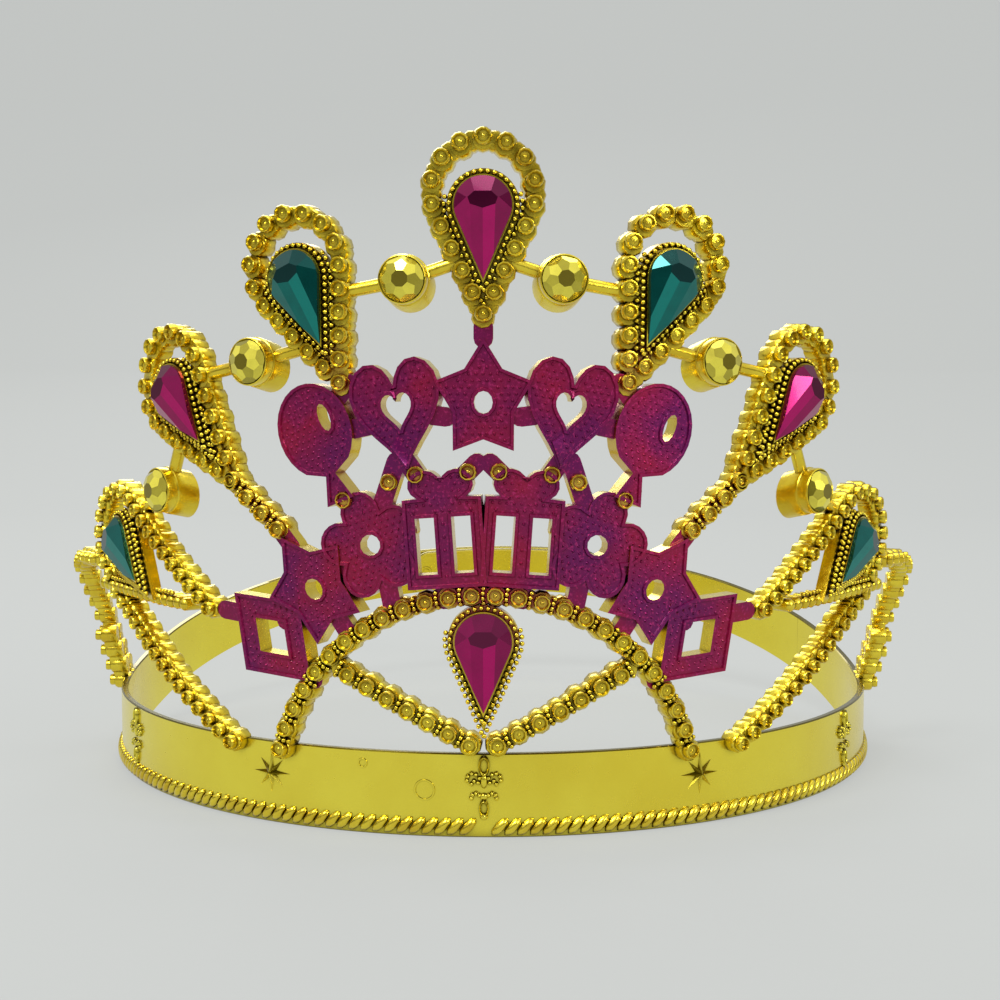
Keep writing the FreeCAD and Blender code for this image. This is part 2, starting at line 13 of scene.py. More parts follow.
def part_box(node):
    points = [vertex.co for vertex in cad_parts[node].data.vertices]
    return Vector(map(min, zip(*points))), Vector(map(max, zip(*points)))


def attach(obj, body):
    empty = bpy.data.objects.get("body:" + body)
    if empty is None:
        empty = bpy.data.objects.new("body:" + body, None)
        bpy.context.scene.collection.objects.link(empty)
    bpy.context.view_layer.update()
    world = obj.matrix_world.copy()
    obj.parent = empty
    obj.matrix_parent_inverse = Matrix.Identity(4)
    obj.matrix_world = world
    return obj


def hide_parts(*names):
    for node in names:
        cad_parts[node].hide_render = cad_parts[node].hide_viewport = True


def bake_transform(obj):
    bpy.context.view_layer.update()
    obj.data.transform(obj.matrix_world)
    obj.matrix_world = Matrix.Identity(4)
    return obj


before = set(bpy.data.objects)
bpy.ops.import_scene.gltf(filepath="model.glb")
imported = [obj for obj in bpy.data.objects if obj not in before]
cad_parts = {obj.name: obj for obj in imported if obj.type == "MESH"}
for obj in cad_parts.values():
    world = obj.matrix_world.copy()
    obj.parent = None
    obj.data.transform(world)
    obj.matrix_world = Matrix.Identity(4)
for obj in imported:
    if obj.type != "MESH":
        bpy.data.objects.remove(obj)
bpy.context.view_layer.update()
MM = 0.001

# ---------------------------------------------------------------- sizes shared with the frame
RING_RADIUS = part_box("front_band")[1].x / MM
HINGE_ANGLE = 115.0
BAND_WALL = 1.3
BAND_HEIGHT = 13.8
STRAP_ROOT = 1.5          # the straps join the band this many degrees before the hinge line
BACK_RISE_BOTTOM = 0.293
BACK_RISE_TOP = 0.245
RISE_BLEND = 18.0
STRAP_TIP_ANGLE = 161.0
BEND_END = 150.0          # end of the straps' bend behind the hinge line; not used to shape them
STRAP_GAP = 0.43
PEG_ANGLE = 165.5
PEG_RADIUS = 1.2
PEG_STAND_OUT = 0.35
SLOT_TRAVEL = 3.5
SLOT_HALF = 1.45
SLOT_PITCH = 9.0
SLOT_COUNT = 3
ROPE_HEIGHT = 2.8
ROPE_EDGE = 0.4
ROPE_STOP = 3.0
STAR_ANGLE = 28.5
LILY_ANGLES = (0.0, 60.5, -60.5)
LILY_CURLS = (
    (0.75, 1.3), (1.3, 1.9), (2.0, 2.05), (2.6, 1.6), (2.75, 0.95), (0.95, 0.55), (1.6, 0.85),
    (2.0, 0.35), (0.75, -1.5), (1.3, -1.2), (1.85, -1.45), (2.05, -2.0),
)

FRONT_PROUD = 3.0
BEAD_LENGTH = 4.2
BEAD_RADIUS = 1.98
BEAD_PITCH = 3.8
STRUT_PITCH = 3.1
SLIM = 0.94               # the side strands' beads against the loops' beads
SLIMMER = 0.88
SIDE_FLARE = 6.9
FLARE_START = 50.0
FLARE_END = 90.0
FLARE_HEIGHT = 24.0

GEM_RADIUS = 4.55
GEM_TAIL = 11.45
GEM_SEAT = 1.3
GEM_CROWN = 2.3
RIM_WIDTH = 1.6
SETTING_BACK = -3.4
SETTING_FRONT = -0.2
LOOP_RADIUS = 8.4
HEAD_RISE = 1.85
WEB_DROP = 1.5
RIM_ROWS = ((0.8, -0.45), (1.62, -0.95))    # each row of grains: distance out from the jewel, and height

LOOPS = {
    "centre": ((0.0, 84.0), 0.0, 19.2),
    "upper": ((29.9, 73.3), 24.0, 20.6),
    "middle": ((57.4, 55.8), 45.0, 23.0),
}
LOWER_GEM = (77.0, 29.1)
LOWER_LEAN = 58.0
LOWER_START = -62.0
LOWER_WEB_TAIL = 19.0
LOWER_STRAND_END = (51.0, 21.6)
LOW_CENTRE_GEM = (0.0, 15.2)

CUP_RADIUS = 4.15
CUP_BACK = -5.6
CUP_FRONT = 0.8
CUP_PLACES = {"upper": (12.7, 76.0), "middle": (40.1, 63.2), "lower": (63.4, 41.2)}
CUP_LINKS = {
    "upper": ((4.5, 78.6), (23.0, 74.3)),
    "middle": ((31.2, 65.2), (51.0, 61.3)),
    "lower": ((60.0, 48.8), (74.2, 36.9)),
}
LINK_RADIUS = 1.1

FOOT_DROP = 0.6
ARCH_TOP = 26.0
ARCH_RADIUS = 37.0
KNOT = (26.0, 14.4)
VEE_FOOT = (2.3, 1.8)
LONG_STRUT = ((83.0, 21.4), (46.0, -FOOT_DROP))
FAR_STRUT = ((93.5, 26.7), (103.0, 26.2), (112.0, 23.2), (118.5, 14.2), (119.5, -FOOT_DROP))
FAR_STUB = ((115.8, -FOOT_DROP), (113.6, 9.0))
CHAIN_END = (35.4, 35.8)
BASE_ROW = ((88.5, 22.6), (57.5, 21.8))
SECOND_ROW = (60.0, 87.0)

PLAQUE_BACK = -4.2
PLAQUE_FRONT = -0.6
PLAQUE_WIDTH = 13.8
PLAQUE_HEIGHT = 20.5
PLAQUE_STROKE = 3.6
TAB_HALF = 1.55           # half width of the painted tabs between plaques
BEADED_TABS = (4, 5, 6, 7)
UPPER_ROW = {"centre": ((0.0, 57.0), 0.0), "inner": ((13.9, 54.8), 10.0), "outer": ((27.4, 50.2), 22.0)}
LOWER_ROW = {
    "first": ((6.5, 37.4), 4.0),
    "second": ((18.6, 33.8), 19.0),
    "third": ((28.7, 26.6), 36.0),
    "fourth": ((36.9, 18.0), 48.0),
}
TIES = (
    ((4.5, 54.2), (9.8, 54.8)), ((17.5, 53.2), (24.2, 51.8)), ((0.0, 70.2), (0.0, 65.2)),
    ((21.5, 61.0), (25.0, 56.2)), ((0.0, 48.2), (5.0, 43.2)), ((13.5, 48.7), (8.5, 41.7)),
    ((13.8, 48.7), (17.0, 39.2)), ((25.8, 43.7), (20.5, 38.2)), ((11.0, 37.0), (15.0, 34.8)),
    ((22.0, 31.7), (26.0, 29.2)), ((31.0, 24.2), (35.5, 19.7)), ((35.8, 36.2), (31.8, 31.7)),
    ((49.0, 21.8), (42.8, 21.4)), ((6.0, 29.7), (6.5, 23.7)), ((16.0, 28.7), (14.5, 21.7)),
    ((25.0, 22.7), (21.5, 17.7)), ((33.0, 13.7), (27.5, 10.7)),
)

FACE_RADIUS = RING_RADIUS + FRONT_PROUD
MIDDLE_RADIUS = RING_RADIUS - BAND_WALL / 2
SIDES = (("left", -1), ("right", 1))
rng = random.Random(7)


# ---------------------------------------------------------------- places
def smooth(t):
    t = min(1.0, max(0.0, t))
    return t * t * (3 - 2 * t)


def plan_point(radius, angle, z=0.0):
    return Vector((radius * sin(radians(angle)), -radius * cos(radians(angle)), z))


def face_radius(angle, z):
    lean = smooth((abs(angle) - FLARE_START) / (FLARE_END - FLARE_START))
    return FACE_RADIUS + SIDE_FLARE * lean * min(1.0, max(0.0, z / FLARE_HEIGHT))


def upright(angle):
    return Matrix.Rotation(radians(angle), 4, "Z") @ Matrix.Rotation(pi / 2, 4, "X")


def on_face(place, lean=0.0, out=0.0):
    """Local x runs round the openwork's front face, y up, z out of it."""
    angle = degrees(place[0] / FACE_RADIUS)
    point = plan_point(face_radius(angle, place[1]) + out, angle, BAND_HEIGHT + place[1])
    return Matrix.Translation(point) @ upright(angle) @ Matrix.Rotation(-radians(lean), 4, "Z")


def on_band(angle, level):
    return Matrix.Translation(plan_point(RING_RADIUS, angle, level)) @ upright(angle)


def shifted(place, x, y, lean):
    turn = radians(lean)
    return place[0] + x * cos(turn) + y * sin(turn), place[1] - x * sin(turn) + y * cos(turn)


def mirrored(place, side):
    return side * place[0], place[1]


def along(points, pitch):
    """Points spaced evenly along a polyline, both ends included."""
    runs = [hypot(b[0] - a[0], b[1] - a[1]) for a, b in zip(points, points[1:])]
    count = max(1, round(sum(runs) / pitch))
    out = []
    for i in range(count + 1):
        d = min(i * sum(runs) / count, sum(runs) - 1e-9)
        k = 0
        while d > runs[k]:
            d -= runs[k]
            k += 1
        a, b = points[k], points[k + 1]
        t = d / runs[k]
        out.append((a[0] + (b[0] - a[0]) * t, a[1] + (b[1] - a[1]) * t))
    return out


# ---------------------------------------------------------------- mesh helpers
def sharpen(bm, limit):
    """Smooth faces with every edge over the limit kept crisp."""
    for face in bm.faces:
        face.smooth = True
    for edge in bm.edges:
        if len(edge.link_faces) == 2:
            edge.smooth = edge.calc_face_angle(0.0) < radians(limit)


def stock(bm, name, limit=40.0):
    """Keep a small shape as a mesh that is stamped many times."""
    bmesh.ops.recalc_face_normals(bm, faces=bm.faces)
    sharpen(bm, limit)
    mesh = bpy.data.meshes.new(name)
    bm.to_mesh(mesh)
    bm.free()
    return mesh


def stamp(target, mesh, matrix):
    copy = mesh.copy()
    copy.transform(matrix)
    if matrix.determinant() < 0:
        copy.flip_normals()
    target.from_mesh(copy)
    bpy.data.meshes.remove(copy)


def turned(profile, steps):
    """A shape turned about its z axis from (radius, z) points."""
    bm = bmesh.new()
    verts = [bm.verts.new((r, 0.0, z)) for r, z in profile]
    edges = [bm.edges.new(pair) for pair in zip(verts, verts[1:])]
    bmesh.ops.spin(bm, geom=verts + edges, cent=(0, 0, 0), axis=(0, 0, 1), angle=2 * pi, steps=steps,
                   use_merge=True)
    bmesh.ops.remove_doubles(bm, verts=bm.verts, dist=1e-4)
    return bm


def plate(loops, back, front):
    """A flat plate bounded by closed outlines, the first outside and the rest holes."""
    bm = bmesh.new()
    edges = []
    for points in loops:
        verts = [bm.verts.new((x, y, back)) for x, y in points]
        edges += [bm.edges.new((a, b)) for a, b in zip(verts, verts[1:] + verts[:1])]
    bmesh.ops.triangle_fill(bm, use_beauty=True, edges=edges)
    grown = bmesh.ops.extrude_face_region(bm, geom=list(bm.faces))
    risen = [e for e in grown["geom"] if isinstance(e, bmesh.types.BMVert)]
    bmesh.ops.translate(bm, verts=risen, vec=(0, 0, front - back))
    bmesh.ops.recalc_face_normals(bm, faces=bm.faces)
    return bm


def finished(bm, name, body, finishes, nodes=()):
    """Turn a bmesh in millimetres into a piece that rides on its body."""
    bmesh.ops.scale(bm, vec=(MM, MM, MM), verts=bm.verts)
    mesh = bpy.data.meshes.new(name)
    bm.to_mesh(mesh)
    bm.free()
    for finish in finishes:
        mesh.materials.append(finish)
    piece = bpy.data.objects.new(name, mesh)
    bpy.context.collection.objects.link(piece)
    if body:
        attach(piece, body)
    if nodes:
        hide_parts(*nodes)
    return piece


# ---------------------------------------------------------------- shader helpers
class Term:
    """A socket that shader maths is written on."""

    def __init__(self, finish, socket):
        self.finish = finish
        self.socket = socket

    def maths(self, operation, a, b):
        return self.finish.node("ShaderNodeMath", {"operation": operation}, {0: a, 1: b})

    def __add__(self, other):
        return self.maths("ADD", self, other)

    def __mul__(self, other):
        return self.maths("MULTIPLY", self, other)

    __radd__ = __add__


class Finish:
    """A material with one Principled surface."""

    def __init__(self, name, **constants):
        self.material = bpy.data.materials.new(name)
        self.material.use_nodes = True
        self.tree = self.material.node_tree
        self.tree.nodes.clear()
        self.surface = self.tree.nodes.new("ShaderNodeBsdfPrincipled")
        output = self.tree.nodes.new("ShaderNodeOutputMaterial")
        self.tree.links.new(self.surface.outputs[0], output.inputs[0])
        for key, value in constants.items():
            self.surface.inputs[key.replace("_", " ")].default_value = value

    def node(self, kind, settings, sockets, out=0):
        made = self.tree.nodes.new(kind)
        for key, value in settings.items():
            if key == "stops":
                ramp = made.color_ramp.elements
                while len(ramp) < len(value):
                    ramp.new(1.0)
                for stop, (place, level) in zip(ramp, value):
                    stop.position = place
                    stop.color = (level, level, level, 1.0)
            else:
                setattr(made, key, value)
        for key, value in sockets.items():
            if isinstance(value, Term):
                self.tree.links.new(value.socket, made.inputs[key])
            else:
                made.inputs[key].default_value = value
        return Term(self, made.outputs[out])

    def feed(self, socket, term):
        self.tree.links.new(term.socket, self.surface.inputs[socket])

    def place(self):
        return self.node("ShaderNodeTexCoord", {}, {}, "Object")

    def noise(self, scale, detail=3.0, roughness=0.55):
        sockets = {"Vector": self.place(), "Scale": scale, "Detail": detail, "Roughness": roughness}
        return self.node("ShaderNodeTexNoise", {}, sockets, "Fac")

    def ramp(self, term, *stops):
        return self.node("ShaderNodeValToRGB", {"stops": stops}, {0: term})

    def mix(self, factor, a, b):
        return self.node("ShaderNodeMix", {"data_type": "RGBA"}, {0: factor, 6: a, 7: b}, 2)

    def hollows(self, reach):
        """1 in the open, towards 0 in hollows narrower than reach."""
        return self.node("ShaderNodeAmbientOcclusion", {"samples": 6}, {"Distance": reach}, "AO")

    def bump(self, height, strength, distance):
        sockets = {"Height": height, "Strength": strength, "Distance": distance}
        self.feed("Normal", self.node("ShaderNodeBump", {}, sockets))

    def distance_to(self, point, squash):
        """Distance from a point in metres, with each axis weighted by squash."""
        moved = self.node("ShaderNodeVectorMath", {"operation": "SUBTRACT"}, {0: self.place(), 1: point})
        weighed = self.node("ShaderNodeVectorMath", {"operation": "MULTIPLY"}, {0: moved, 1: squash})
        return self.node("ShaderNodeVectorMath", {"operation": "LENGTH"}, {0: weighed}, "Value")


LEMON_GOLD = (0.94, 0.81, 0.075, 1.0)
WARM_GOLD = (0.84, 0.68, 0.05, 1.0)
OLIVE_SHADE = (0.085, 0.062, 0.004, 1.0)
BEAD_LEMON = (0.90, 0.72, 0.055, 1.0)
BEAD_AMBER = (0.74, 0.53, 0.03, 1.0)
BEAD_SHADE = (0.05, 0.03, 0.002, 1.0)
CRIMSON = (0.29, 0.002, 0.045, 1.0)
PURPLE = (0.145, 0.0, 0.085, 1.0)
PAINT_SPECK = (0.62, 0.03, 0.20, 1.0)


def band_gold():
    """Smooth plated plastic with faint flow marks and handling scuffs, with painted shade in the hollows and
    on faces that point up.
    """
    f = Finish("band_gold", Metallic=1.0, Coat_Weight=0.25, Coat_Roughness=0.08)
    flow = f.noise(38.0, 4.0)
    scuff = f.ramp(f.noise(700.0, 5.0, 0.6), (0.6, 0.0), (0.8, 1.0))
    # painted shade: hollows are darkened towards the olive shade colour
    shade = f.ramp(f.hollows(0.0022), (0.25, 1.0), (0.8, 0.0))
    tone = f.mix(f.ramp(flow, (0.35, 0.0), (0.7, 1.0)), LEMON_GOLD, WARM_GOLD)
    # painted shade: faces that point up are darkened towards the olive shade colour, drawing a dark line
    # along the band's top edge
    normal = f.node("ShaderNodeNewGeometry", {}, {}, "Normal")
    edge = f.ramp(f.node("ShaderNodeSeparateXYZ", {}, {0: normal}, "Z"), (0.25, 0.0), (0.65, 1.0))
    tone = f.mix(edge * 0.9, tone, OLIVE_SHADE)
    f.feed("Base Color", f.mix(shade * 0.85, tone, OLIVE_SHADE))
    f.feed("Roughness", 0.2 + flow * 0.08 + scuff * 0.1)
    f.bump(flow, 0.3, 0.0006)
    return f.material


def bead_gold(name, overspray):
    """Plated beadwork: bright on top, with painted shade in the hollows, and paint drifted on near the
    plaques.
    """
    f = Finish(name, Metallic=1.0, Coat_Weight=0.2, Coat_Roughness=0.06)
    grain = f.noise(1400.0, 5.0, 0.6)
    patch = f.noise(160.0, 3.0)
    # painted shade: hollows are darkened towards the bead shade colour
    shade = f.ramp(f.hollows(0.0011), (0.4, 1.0), (0.8, 0.0))
    tone = f.mix(f.ramp(patch, (0.35, 0.0), (0.62, 1.0)), BEAD_LEMON, BEAD_AMBER)
    tone = f.mix(shade * 0.92, tone, BEAD_SHADE)
    if overspray:
        near = f.distance_to((0.0, 0.0, 0.058), (0.62, 0.0, 1.0))
        drift = f.ramp(near * 24.0 + patch * 0.3, (0.56, 1.0), (0.84, 0.0))
        tone = f.mix(drift * (0.2 + shade * 0.8), tone, CRIMSON)
    f.feed("Base Color", tone)
    f.feed("Roughness", 0.16 + grain * 0.16)
    f.bump(grain, 0.25, 0.0002)
    return f.material


def sprayed_paint():
    """Metallic crimson-purple lacquer with bright flakes, and painted shade in its hollows."""
    f = Finish("sprayed_paint", Metallic=0.75, Coat_Weight=0.3, Coat_Roughness=0.15)
    drift = f.noise(70.0, 3.0)
    flake = f.ramp(f.noise(2200.0, 2.0, 0.5), (0.55, 0.0), (0.68, 1.0))
    tone = f.mix(f.ramp(drift, (0.38, 0.0), (0.62, 1.0)), PURPLE, CRIMSON)
    tone = f.mix(flake * 0.45, tone, PAINT_SPECK)
    # painted shade: hollows are darkened towards a deep purple
    shade = f.ramp(f.hollows(0.0008), (0.3, 1.0), (0.8, 0.0))
    f.feed("Base Color", f.mix(shade * 0.5, tone, (0.05, 0.0, 0.03, 1.0)))
    f.feed("Roughness", 0.3 + drift * 0.15)
    f.bump(f.noise(1800.0, 3.0), 0.3, 0.00015)
    return f.material


def jewel(name, deep, bright):
    """Foil-backed facets; each face carries a painted reflection brightness, from the deep colour to the
    bright one.
    """
    f = Finish(name, Metallic=0.75, Coat_Weight=0.22, Coat_Roughness=0.03)
    # painted reflection: each face's stored brightness picks its colour between deep and bright
    tone = f.node("ShaderNodeAttribute", {"attribute_name": "facet"}, {}, "Fac")
    streak = f.noise(420.0, 3.0)
    f.feed("Base Color", f.mix(tone * (0.7 + streak * 0.6), deep, bright))
    f.feed("Roughness", 0.07 + streak * 0.08)
    return f.material


GOLD = band_gold()
BEADS = bead_gold("bead_gold", False)
SPRAYED_BEADS = bead_gold("bead_gold_oversprayed", True)
PAINT = sprayed_paint()
MAGENTA = jewel("magenta_foil", (0.07, 0.0, 0.025, 1.0), (0.44, 0.0005, 0.125, 1.0))
TEAL = jewel("teal_foil", (0.0, 0.025, 0.025, 1.0), (0.002, 0.2, 0.17, 1.0))
STONE_GOLD = jewel("stone_gold", (0.16, 0.12, 0.003, 1.0), (0.95, 0.84, 0.09, 1.0))


# ---------------------------------------------------------------- band and straps
def rise(height, slope, y):
    """Height of an edge that is level in front and climbs behind, with a smooth lead-in."""
    if y <= -RISE_BLEND:
        return height
    if y >= RISE_BLEND:
        return height + slope * y
    return height + slope * (y + RISE_BLEND) ** 2 / (4 * RISE_BLEND)


def follow_edges(bm):
    """Carry a level band's heights onto the band's real lower and upper edges."""
    for vert in bm.verts:
        share = vert.co.z / BAND_HEIGHT
        y = vert.co.y
        low = rise(0.0, BACK_RISE_BOTTOM, y)
        vert.co.z = low + share * (rise(BAND_HEIGHT, BACK_RISE_TOP, y) - low)


def wall_section(outer, inner):
    """Rounded section of the wall as (radius, z) points, closed by the spin."""
    edge = 0.22
    return [
        (inner, edge), (inner + edge, 0.0), (outer - edge, 0.0), (outer, edge),
        (outer, BAND_HEIGHT * 0.35), (outer, BAND_HEIGHT * 0.7), (outer, BAND_HEIGHT - edge),
        (outer - edge, BAND_HEIGHT), (inner + edge, BAND_HEIGHT), (inner, BAND_HEIGHT - edge),
        (inner, BAND_HEIGHT * 0.7), (inner, BAND_HEIGHT * 0.35),
    ]


def swept_wall(radius, start, end, centre, steps):
    """A wall of the band's section from one angle to another about a centre, with closed ends."""
    half = BAND_WALL / 2
    bm = bmesh.new()
    first = [centre + plan_point(r, start, z) for r, z in wall_section(radius + half, radius - half)]
    verts = [bm.verts.new(p) for p in first]
    face = bm.faces.new(verts)
    bmesh.ops.spin(bm, geom=[face], cent=centre, axis=(0, 0, 1), angle=radians(end - start), steps=steps)
    return bm


def strap_frame(side):
    """Centre and middle radius of a strap: the left one runs outside, the right one inside."""
    lap = 2 * (1 - cos(pi - radians(HINGE_ANGLE)))
    spread = -side * (BAND_WALL + STRAP_GAP) / lap
    return plan_point(1.0, side * HINGE_ANGLE) * -spread, MIDDLE_RADIUS + spread


def strap_place(side, angle):
    """Place on a strap's middle surface, local z outwards, and the strap's height there."""
    centre, radius = strap_frame(side)
    ray = plan_point(1.0, angle)
    reach = centre.dot(ray) + sqrt(centre.dot(ray) ** 2 - centre.dot(centre) + radius ** 2)
    point = ray * reach
    normal = point - centre
    depth = -MIDDLE_RADIUS * cos(radians(angle))
    low, high = depth * BACK_RISE_BOTTOM, BAND_HEIGHT + depth * BACK_RISE_TOP
    point.z = (low + high) / 2
    return Matrix.Translation(point) @ upright(degrees(atan2(normal.x, -normal.y))), high - low


def front_band():
    end = HINGE_ANGLE - STRAP_ROOT
    bm = swept_wall(MIDDLE_RADIUS, -end, end, Vector((0, 0, 0)), 180)
    bmesh.ops.recalc_face_normals(bm, faces=bm.faces)
    follow_edges(bm)
    # round marks left by the mould's ejector pins
    for angle, level, radius in ((-7.4, 7.7, 1.6), (-15.4, 11.6, 0.7)):
        mark = stock(turned([(radius - 0.2, -0.15), (radius - 0.1, 0.16), (radius + 0.1, 0.16),
                             (radius + 0.2, -0.15)], 28), "mark")
        stamp(bm, mark, on_band(angle, level))
    sharpen(bm, 35)
    finished(bm, "band", "crown", [GOLD], ["front_band"])


def rounded_tip(bm, side, tip):
    """Narrow the strap's end to a half round."""
    centre = strap_frame(side)[0]
    for vert in bm.verts:
        flat = Vector((vert.co.x, vert.co.y, 0.0))
        ray = flat - centre
        angle = degrees(atan2(ray.x, -ray.y))
        behind = (side * (tip - angle)) % 360.0
        if behind > 300.0:      # rounding carries the very end past the tip
            behind = 0.0
        height = strap_place(side, tip)[1]
        reach = radians(min(behind, 180.0)) * RING_RADIUS
        if reach < height / 2:
            keep = sqrt(max(0.0, 1 - (1 - reach / (height / 2)) ** 2))
            middle = strap_place(side, angle)[0].translation.z
            vert.co.z = middle + (vert.co.z - middle) * max(keep, 0.12)


def rear_strap(side_name, side, cutters):
    body = side_name + "_strap"
    centre, radius = strap_frame(side)
    start = side * (HINGE_ANGLE - STRAP_ROOT)
    tip = side * (360.0 - STRAP_TIP_ANGLE)
    bm = swept_wall(radius, start, tip, centre, 110)
    follow_edges(bm)
    rounded_tip(bm, side, tip)
    bmesh.ops.recalc_face_normals(bm, faces=bm.faces)
    sharpen(bm, 35)
    strap = finished(bm, "rear_strap_" + side_name, None, [GOLD])
    if cutters:
        slots = bmesh.new()
        for mesh, matrix in cutters:
            stamp(slots, mesh, matrix)
        bmesh.ops.recalc_face_normals(slots, faces=slots.faces)
        tool = finished(slots, "slots", None, [GOLD])
        cut = strap.modifiers.new("slots", "BOOLEAN")
        cut.object = tool
        cut.solver = "EXACT"
        graph = bpy.context.evaluated_depsgraph_get()
        mesh = bpy.data.meshes.new_from_object(strap.evaluated_get(graph))
        strap.modifiers.clear()
        trimmed = bmesh.new()
        trimmed.from_mesh(mesh)
        bmesh.ops.triangulate(trimmed, faces=[f for f in trimmed.faces if len(f.verts) > 4])
        sharpen(trimmed, 35)
        trimmed.to_mesh(mesh)
        trimmed.free()
        strap.data = mesh
        bpy.data.objects.remove(tool)
    plan_point(RING_RADIUS, side * HINGE_ANGLE) * MM
    plan_point(RING_RADIUS, side * BEND_END) * MM
    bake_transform(strap)
    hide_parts(body)


def slot_cutters():
    half_round = [(SLOT_TRAVEL / 2 + SLOT_HALF * cos(t), SLOT_HALF * sin(t))
                  for t in (-pi / 2 + pi * i / 10 for i in range(11))]
    outline = half_round + [(-x, -y) for x, y in half_round]
    mesh = stock(plate([outline], -3.0, 3.0), "slot")
    out = []
    for i in range(SLOT_COUNT):
        angle = -PEG_ANGLE - i * degrees(SLOT_PITCH / RING_RADIUS)
        out.append((mesh, strap_place(-1, angle)[0]))
    return out


def closure_peg():
    place = strap_place(1, -PEG_ANGLE)[0]
    outer = strap_place(-1, -PEG_ANGLE)[0]
    reach = (outer.translation - place.translation).length + BAND_WALL / 2 + PEG_STAND_OUT
    profile = [(PEG_RADIUS, 0.0), (PEG_RADIUS, reach - 0.3), (PEG_RADIUS - 0.25, reach), (0.0, reach)]
    bm = bmesh.new()
    stamp(bm, stock(turned(profile, 24), "peg"), place)
    # moulded dimple and gate mark on the inner face, behind the peg
    dimple = [(0.0, -0.05), (0.7, -0.05), (0.95, 0.22), (1.35, 0.22), (1.5, 0.0)]
    inward = place @ Matrix.Rotation(pi, 4, "Y") @ Matrix.Translation((0, 0, BAND_WALL / 2))
    stamp(bm, stock(turned(dimple, 24), "dimple"), inward)
    finished(bm, "peg", "right_strap", [GOLD], ["closure_peg"])


# ---------------------------------------------------------------- band ornament
def rope():
    """Twisted rope moulding: slanting lobes side by side, broken at the middle lily."""
    bm = bmesh.new()
    lobe = bmesh.new()
    bmesh.ops.create_uvsphere(lobe, u_segments=8, v_segments=6, radius=1.0)
    bmesh.ops.scale(lobe, vec=(0.86, 1.95, 0.86), verts=lobe.verts)
    bmesh.ops.rotate(lobe, cent=(0, 0, 0), matrix=Matrix.Rotation(radians(-44), 3, "Z"), verts=lobe.verts)
    mesh = stock(lobe, "rope_lobe", 80)
    pitch = degrees(2.08 / RING_RADIUS)
    first = degrees(2.6 / RING_RADIUS)
    count = int((HINGE_ANGLE - ROPE_STOP - first) / pitch)
    for _, side in SIDES:
        for i in range(count):
            angle = side * (first + i * pitch)
            y = plan_point(RING_RADIUS, angle).y
            level = rise(0.0, BACK_RISE_BOTTOM, y) + ROPE_EDGE + ROPE_HEIGHT / 2
            stamp(bm, mesh, on_band(angle, level))
    finished(bm, "rope_moulding", "crown", [BEADS], ["rope_trim"])


def emblems():
    bm = bmesh.new()
    level = (ROPE_EDGE + ROPE_HEIGHT + BAND_HEIGHT) / 2
    star = bmesh.new()
    bmesh.ops.create_cone(star, segments=16, radius1=4.2, radius2=0.0, depth=1.15, cap_ends=False)
    for vert in star.verts:
        spoke = round(atan2(vert.co.y, vert.co.x) / (pi / 8)) % 16
        reach = 0.30 if spoke % 2 else (1.12 if spoke == 4 else 0.9 if spoke % 4 else 0.98)
        vert.co.x *= reach
        vert.co.y *= reach
    bmesh.ops.translate(star, verts=star.verts, vec=(0, 0, 0.38))
    burst = stock(star, "starburst", 5)
    for _, side in SIDES:
        stamp(bm, burst, on_band(side * STAR_ANGLE, level))
    ball = bmesh.new()
    bmesh.ops.create_uvsphere(ball, u_segments=10, v_segments=8, radius=1.0)
    petal = stock(ball, "petal", 80)
    hoop = stock(turned([(0.6, -0.4), (0.6, 0.32), (0.8, 0.5), (1.0, 0.32), (1.0, -0.4)], 16), "hoop", 60)
    for angle in LILY_ANGLES:
        here = on_band(angle, level)
        for y, wide, tall in ((3.3, 0.92, 1.75), (-3.7, 0.8, 1.5)):
            stamp(bm, hoop, here @ Matrix.Translation((0, y, 0)) @ Matrix.Diagonal((wide, tall, 1.2, 1)))
        lobes = [(0.0, 0.8, 0.62, 1.25), (0.0, -1.7, 0.7, 0.62), (0.0, -5.0, 0.7, 0.6)]
        for x in (-1, 1):
            lobes += [(x * across, up, 0.4, 0.42) for across, up in LILY_CURLS]
        for x, y, wide, tall in lobes:
            stamp(bm, petal, here @ Matrix.Translation((x, y, 0)) @ Matrix.Diagonal((wide, tall, 0.58, 1)))
    finished(bm, "emblem_reliefs", "crown", [GOLD], ["band_emblems"])


# ---------------------------------------------------------------- beads
BARREL = stock(turned([
    (0.0, -BEAD_LENGTH), (BEAD_RADIUS - 0.2, -BEAD_LENGTH), (BEAD_RADIUS, -BEAD_LENGTH + 0.2),
    (BEAD_RADIUS, -1.5), (1.7, -1.05), (0.0, -0.95)], 10), "barrel", 45)
CUP_BEAD = stock(turned([
    (1.42, -1.3), (1.46, -0.2), (1.3, 0.08), (1.12, 0.1), (0.9, -0.42), (0.34, -0.36), (0.0, -0.02)], 10),
    "cup_bead", 38)
SMALL_BEAD = stock(turned([
    (0.0, -BEAD_LENGTH), (1.15, -BEAD_LENGTH), (1.15, -0.7), (0.85, -0.25), (0.0, 0.05)], 8),
    "small_bead", 60)
GRAIN = bmesh.new()
bmesh.ops.create_uvsphere(GRAIN, u_segments=8, v_segments=5, radius=0.44)
GRAIN = stock(GRAIN, "grain", 80)
CAP_RISE = 0.5            # cup beads sit this much above their barrels on the loops
TILT = 0.05               # how far a bead may lean, in radians


def bead_pose(place, size=1.0):
    """A bead stands square to the face, with the slight unevenness of a moulding."""
    turn = Matrix.Rotation(rng.uniform(0, 2 * pi), 4, "Z")
    tilt = Matrix.Rotation(rng.uniform(-TILT, TILT), 4, "X")
    tilt = tilt @ Matrix.Rotation(rng.uniform(-TILT, TILT), 4, "Y")
    size *= rng.uniform(0.97, 1.01)
    return on_face(place) @ tilt @ turn @ Matrix.Diagonal((size, size, 1.0, 1.0))


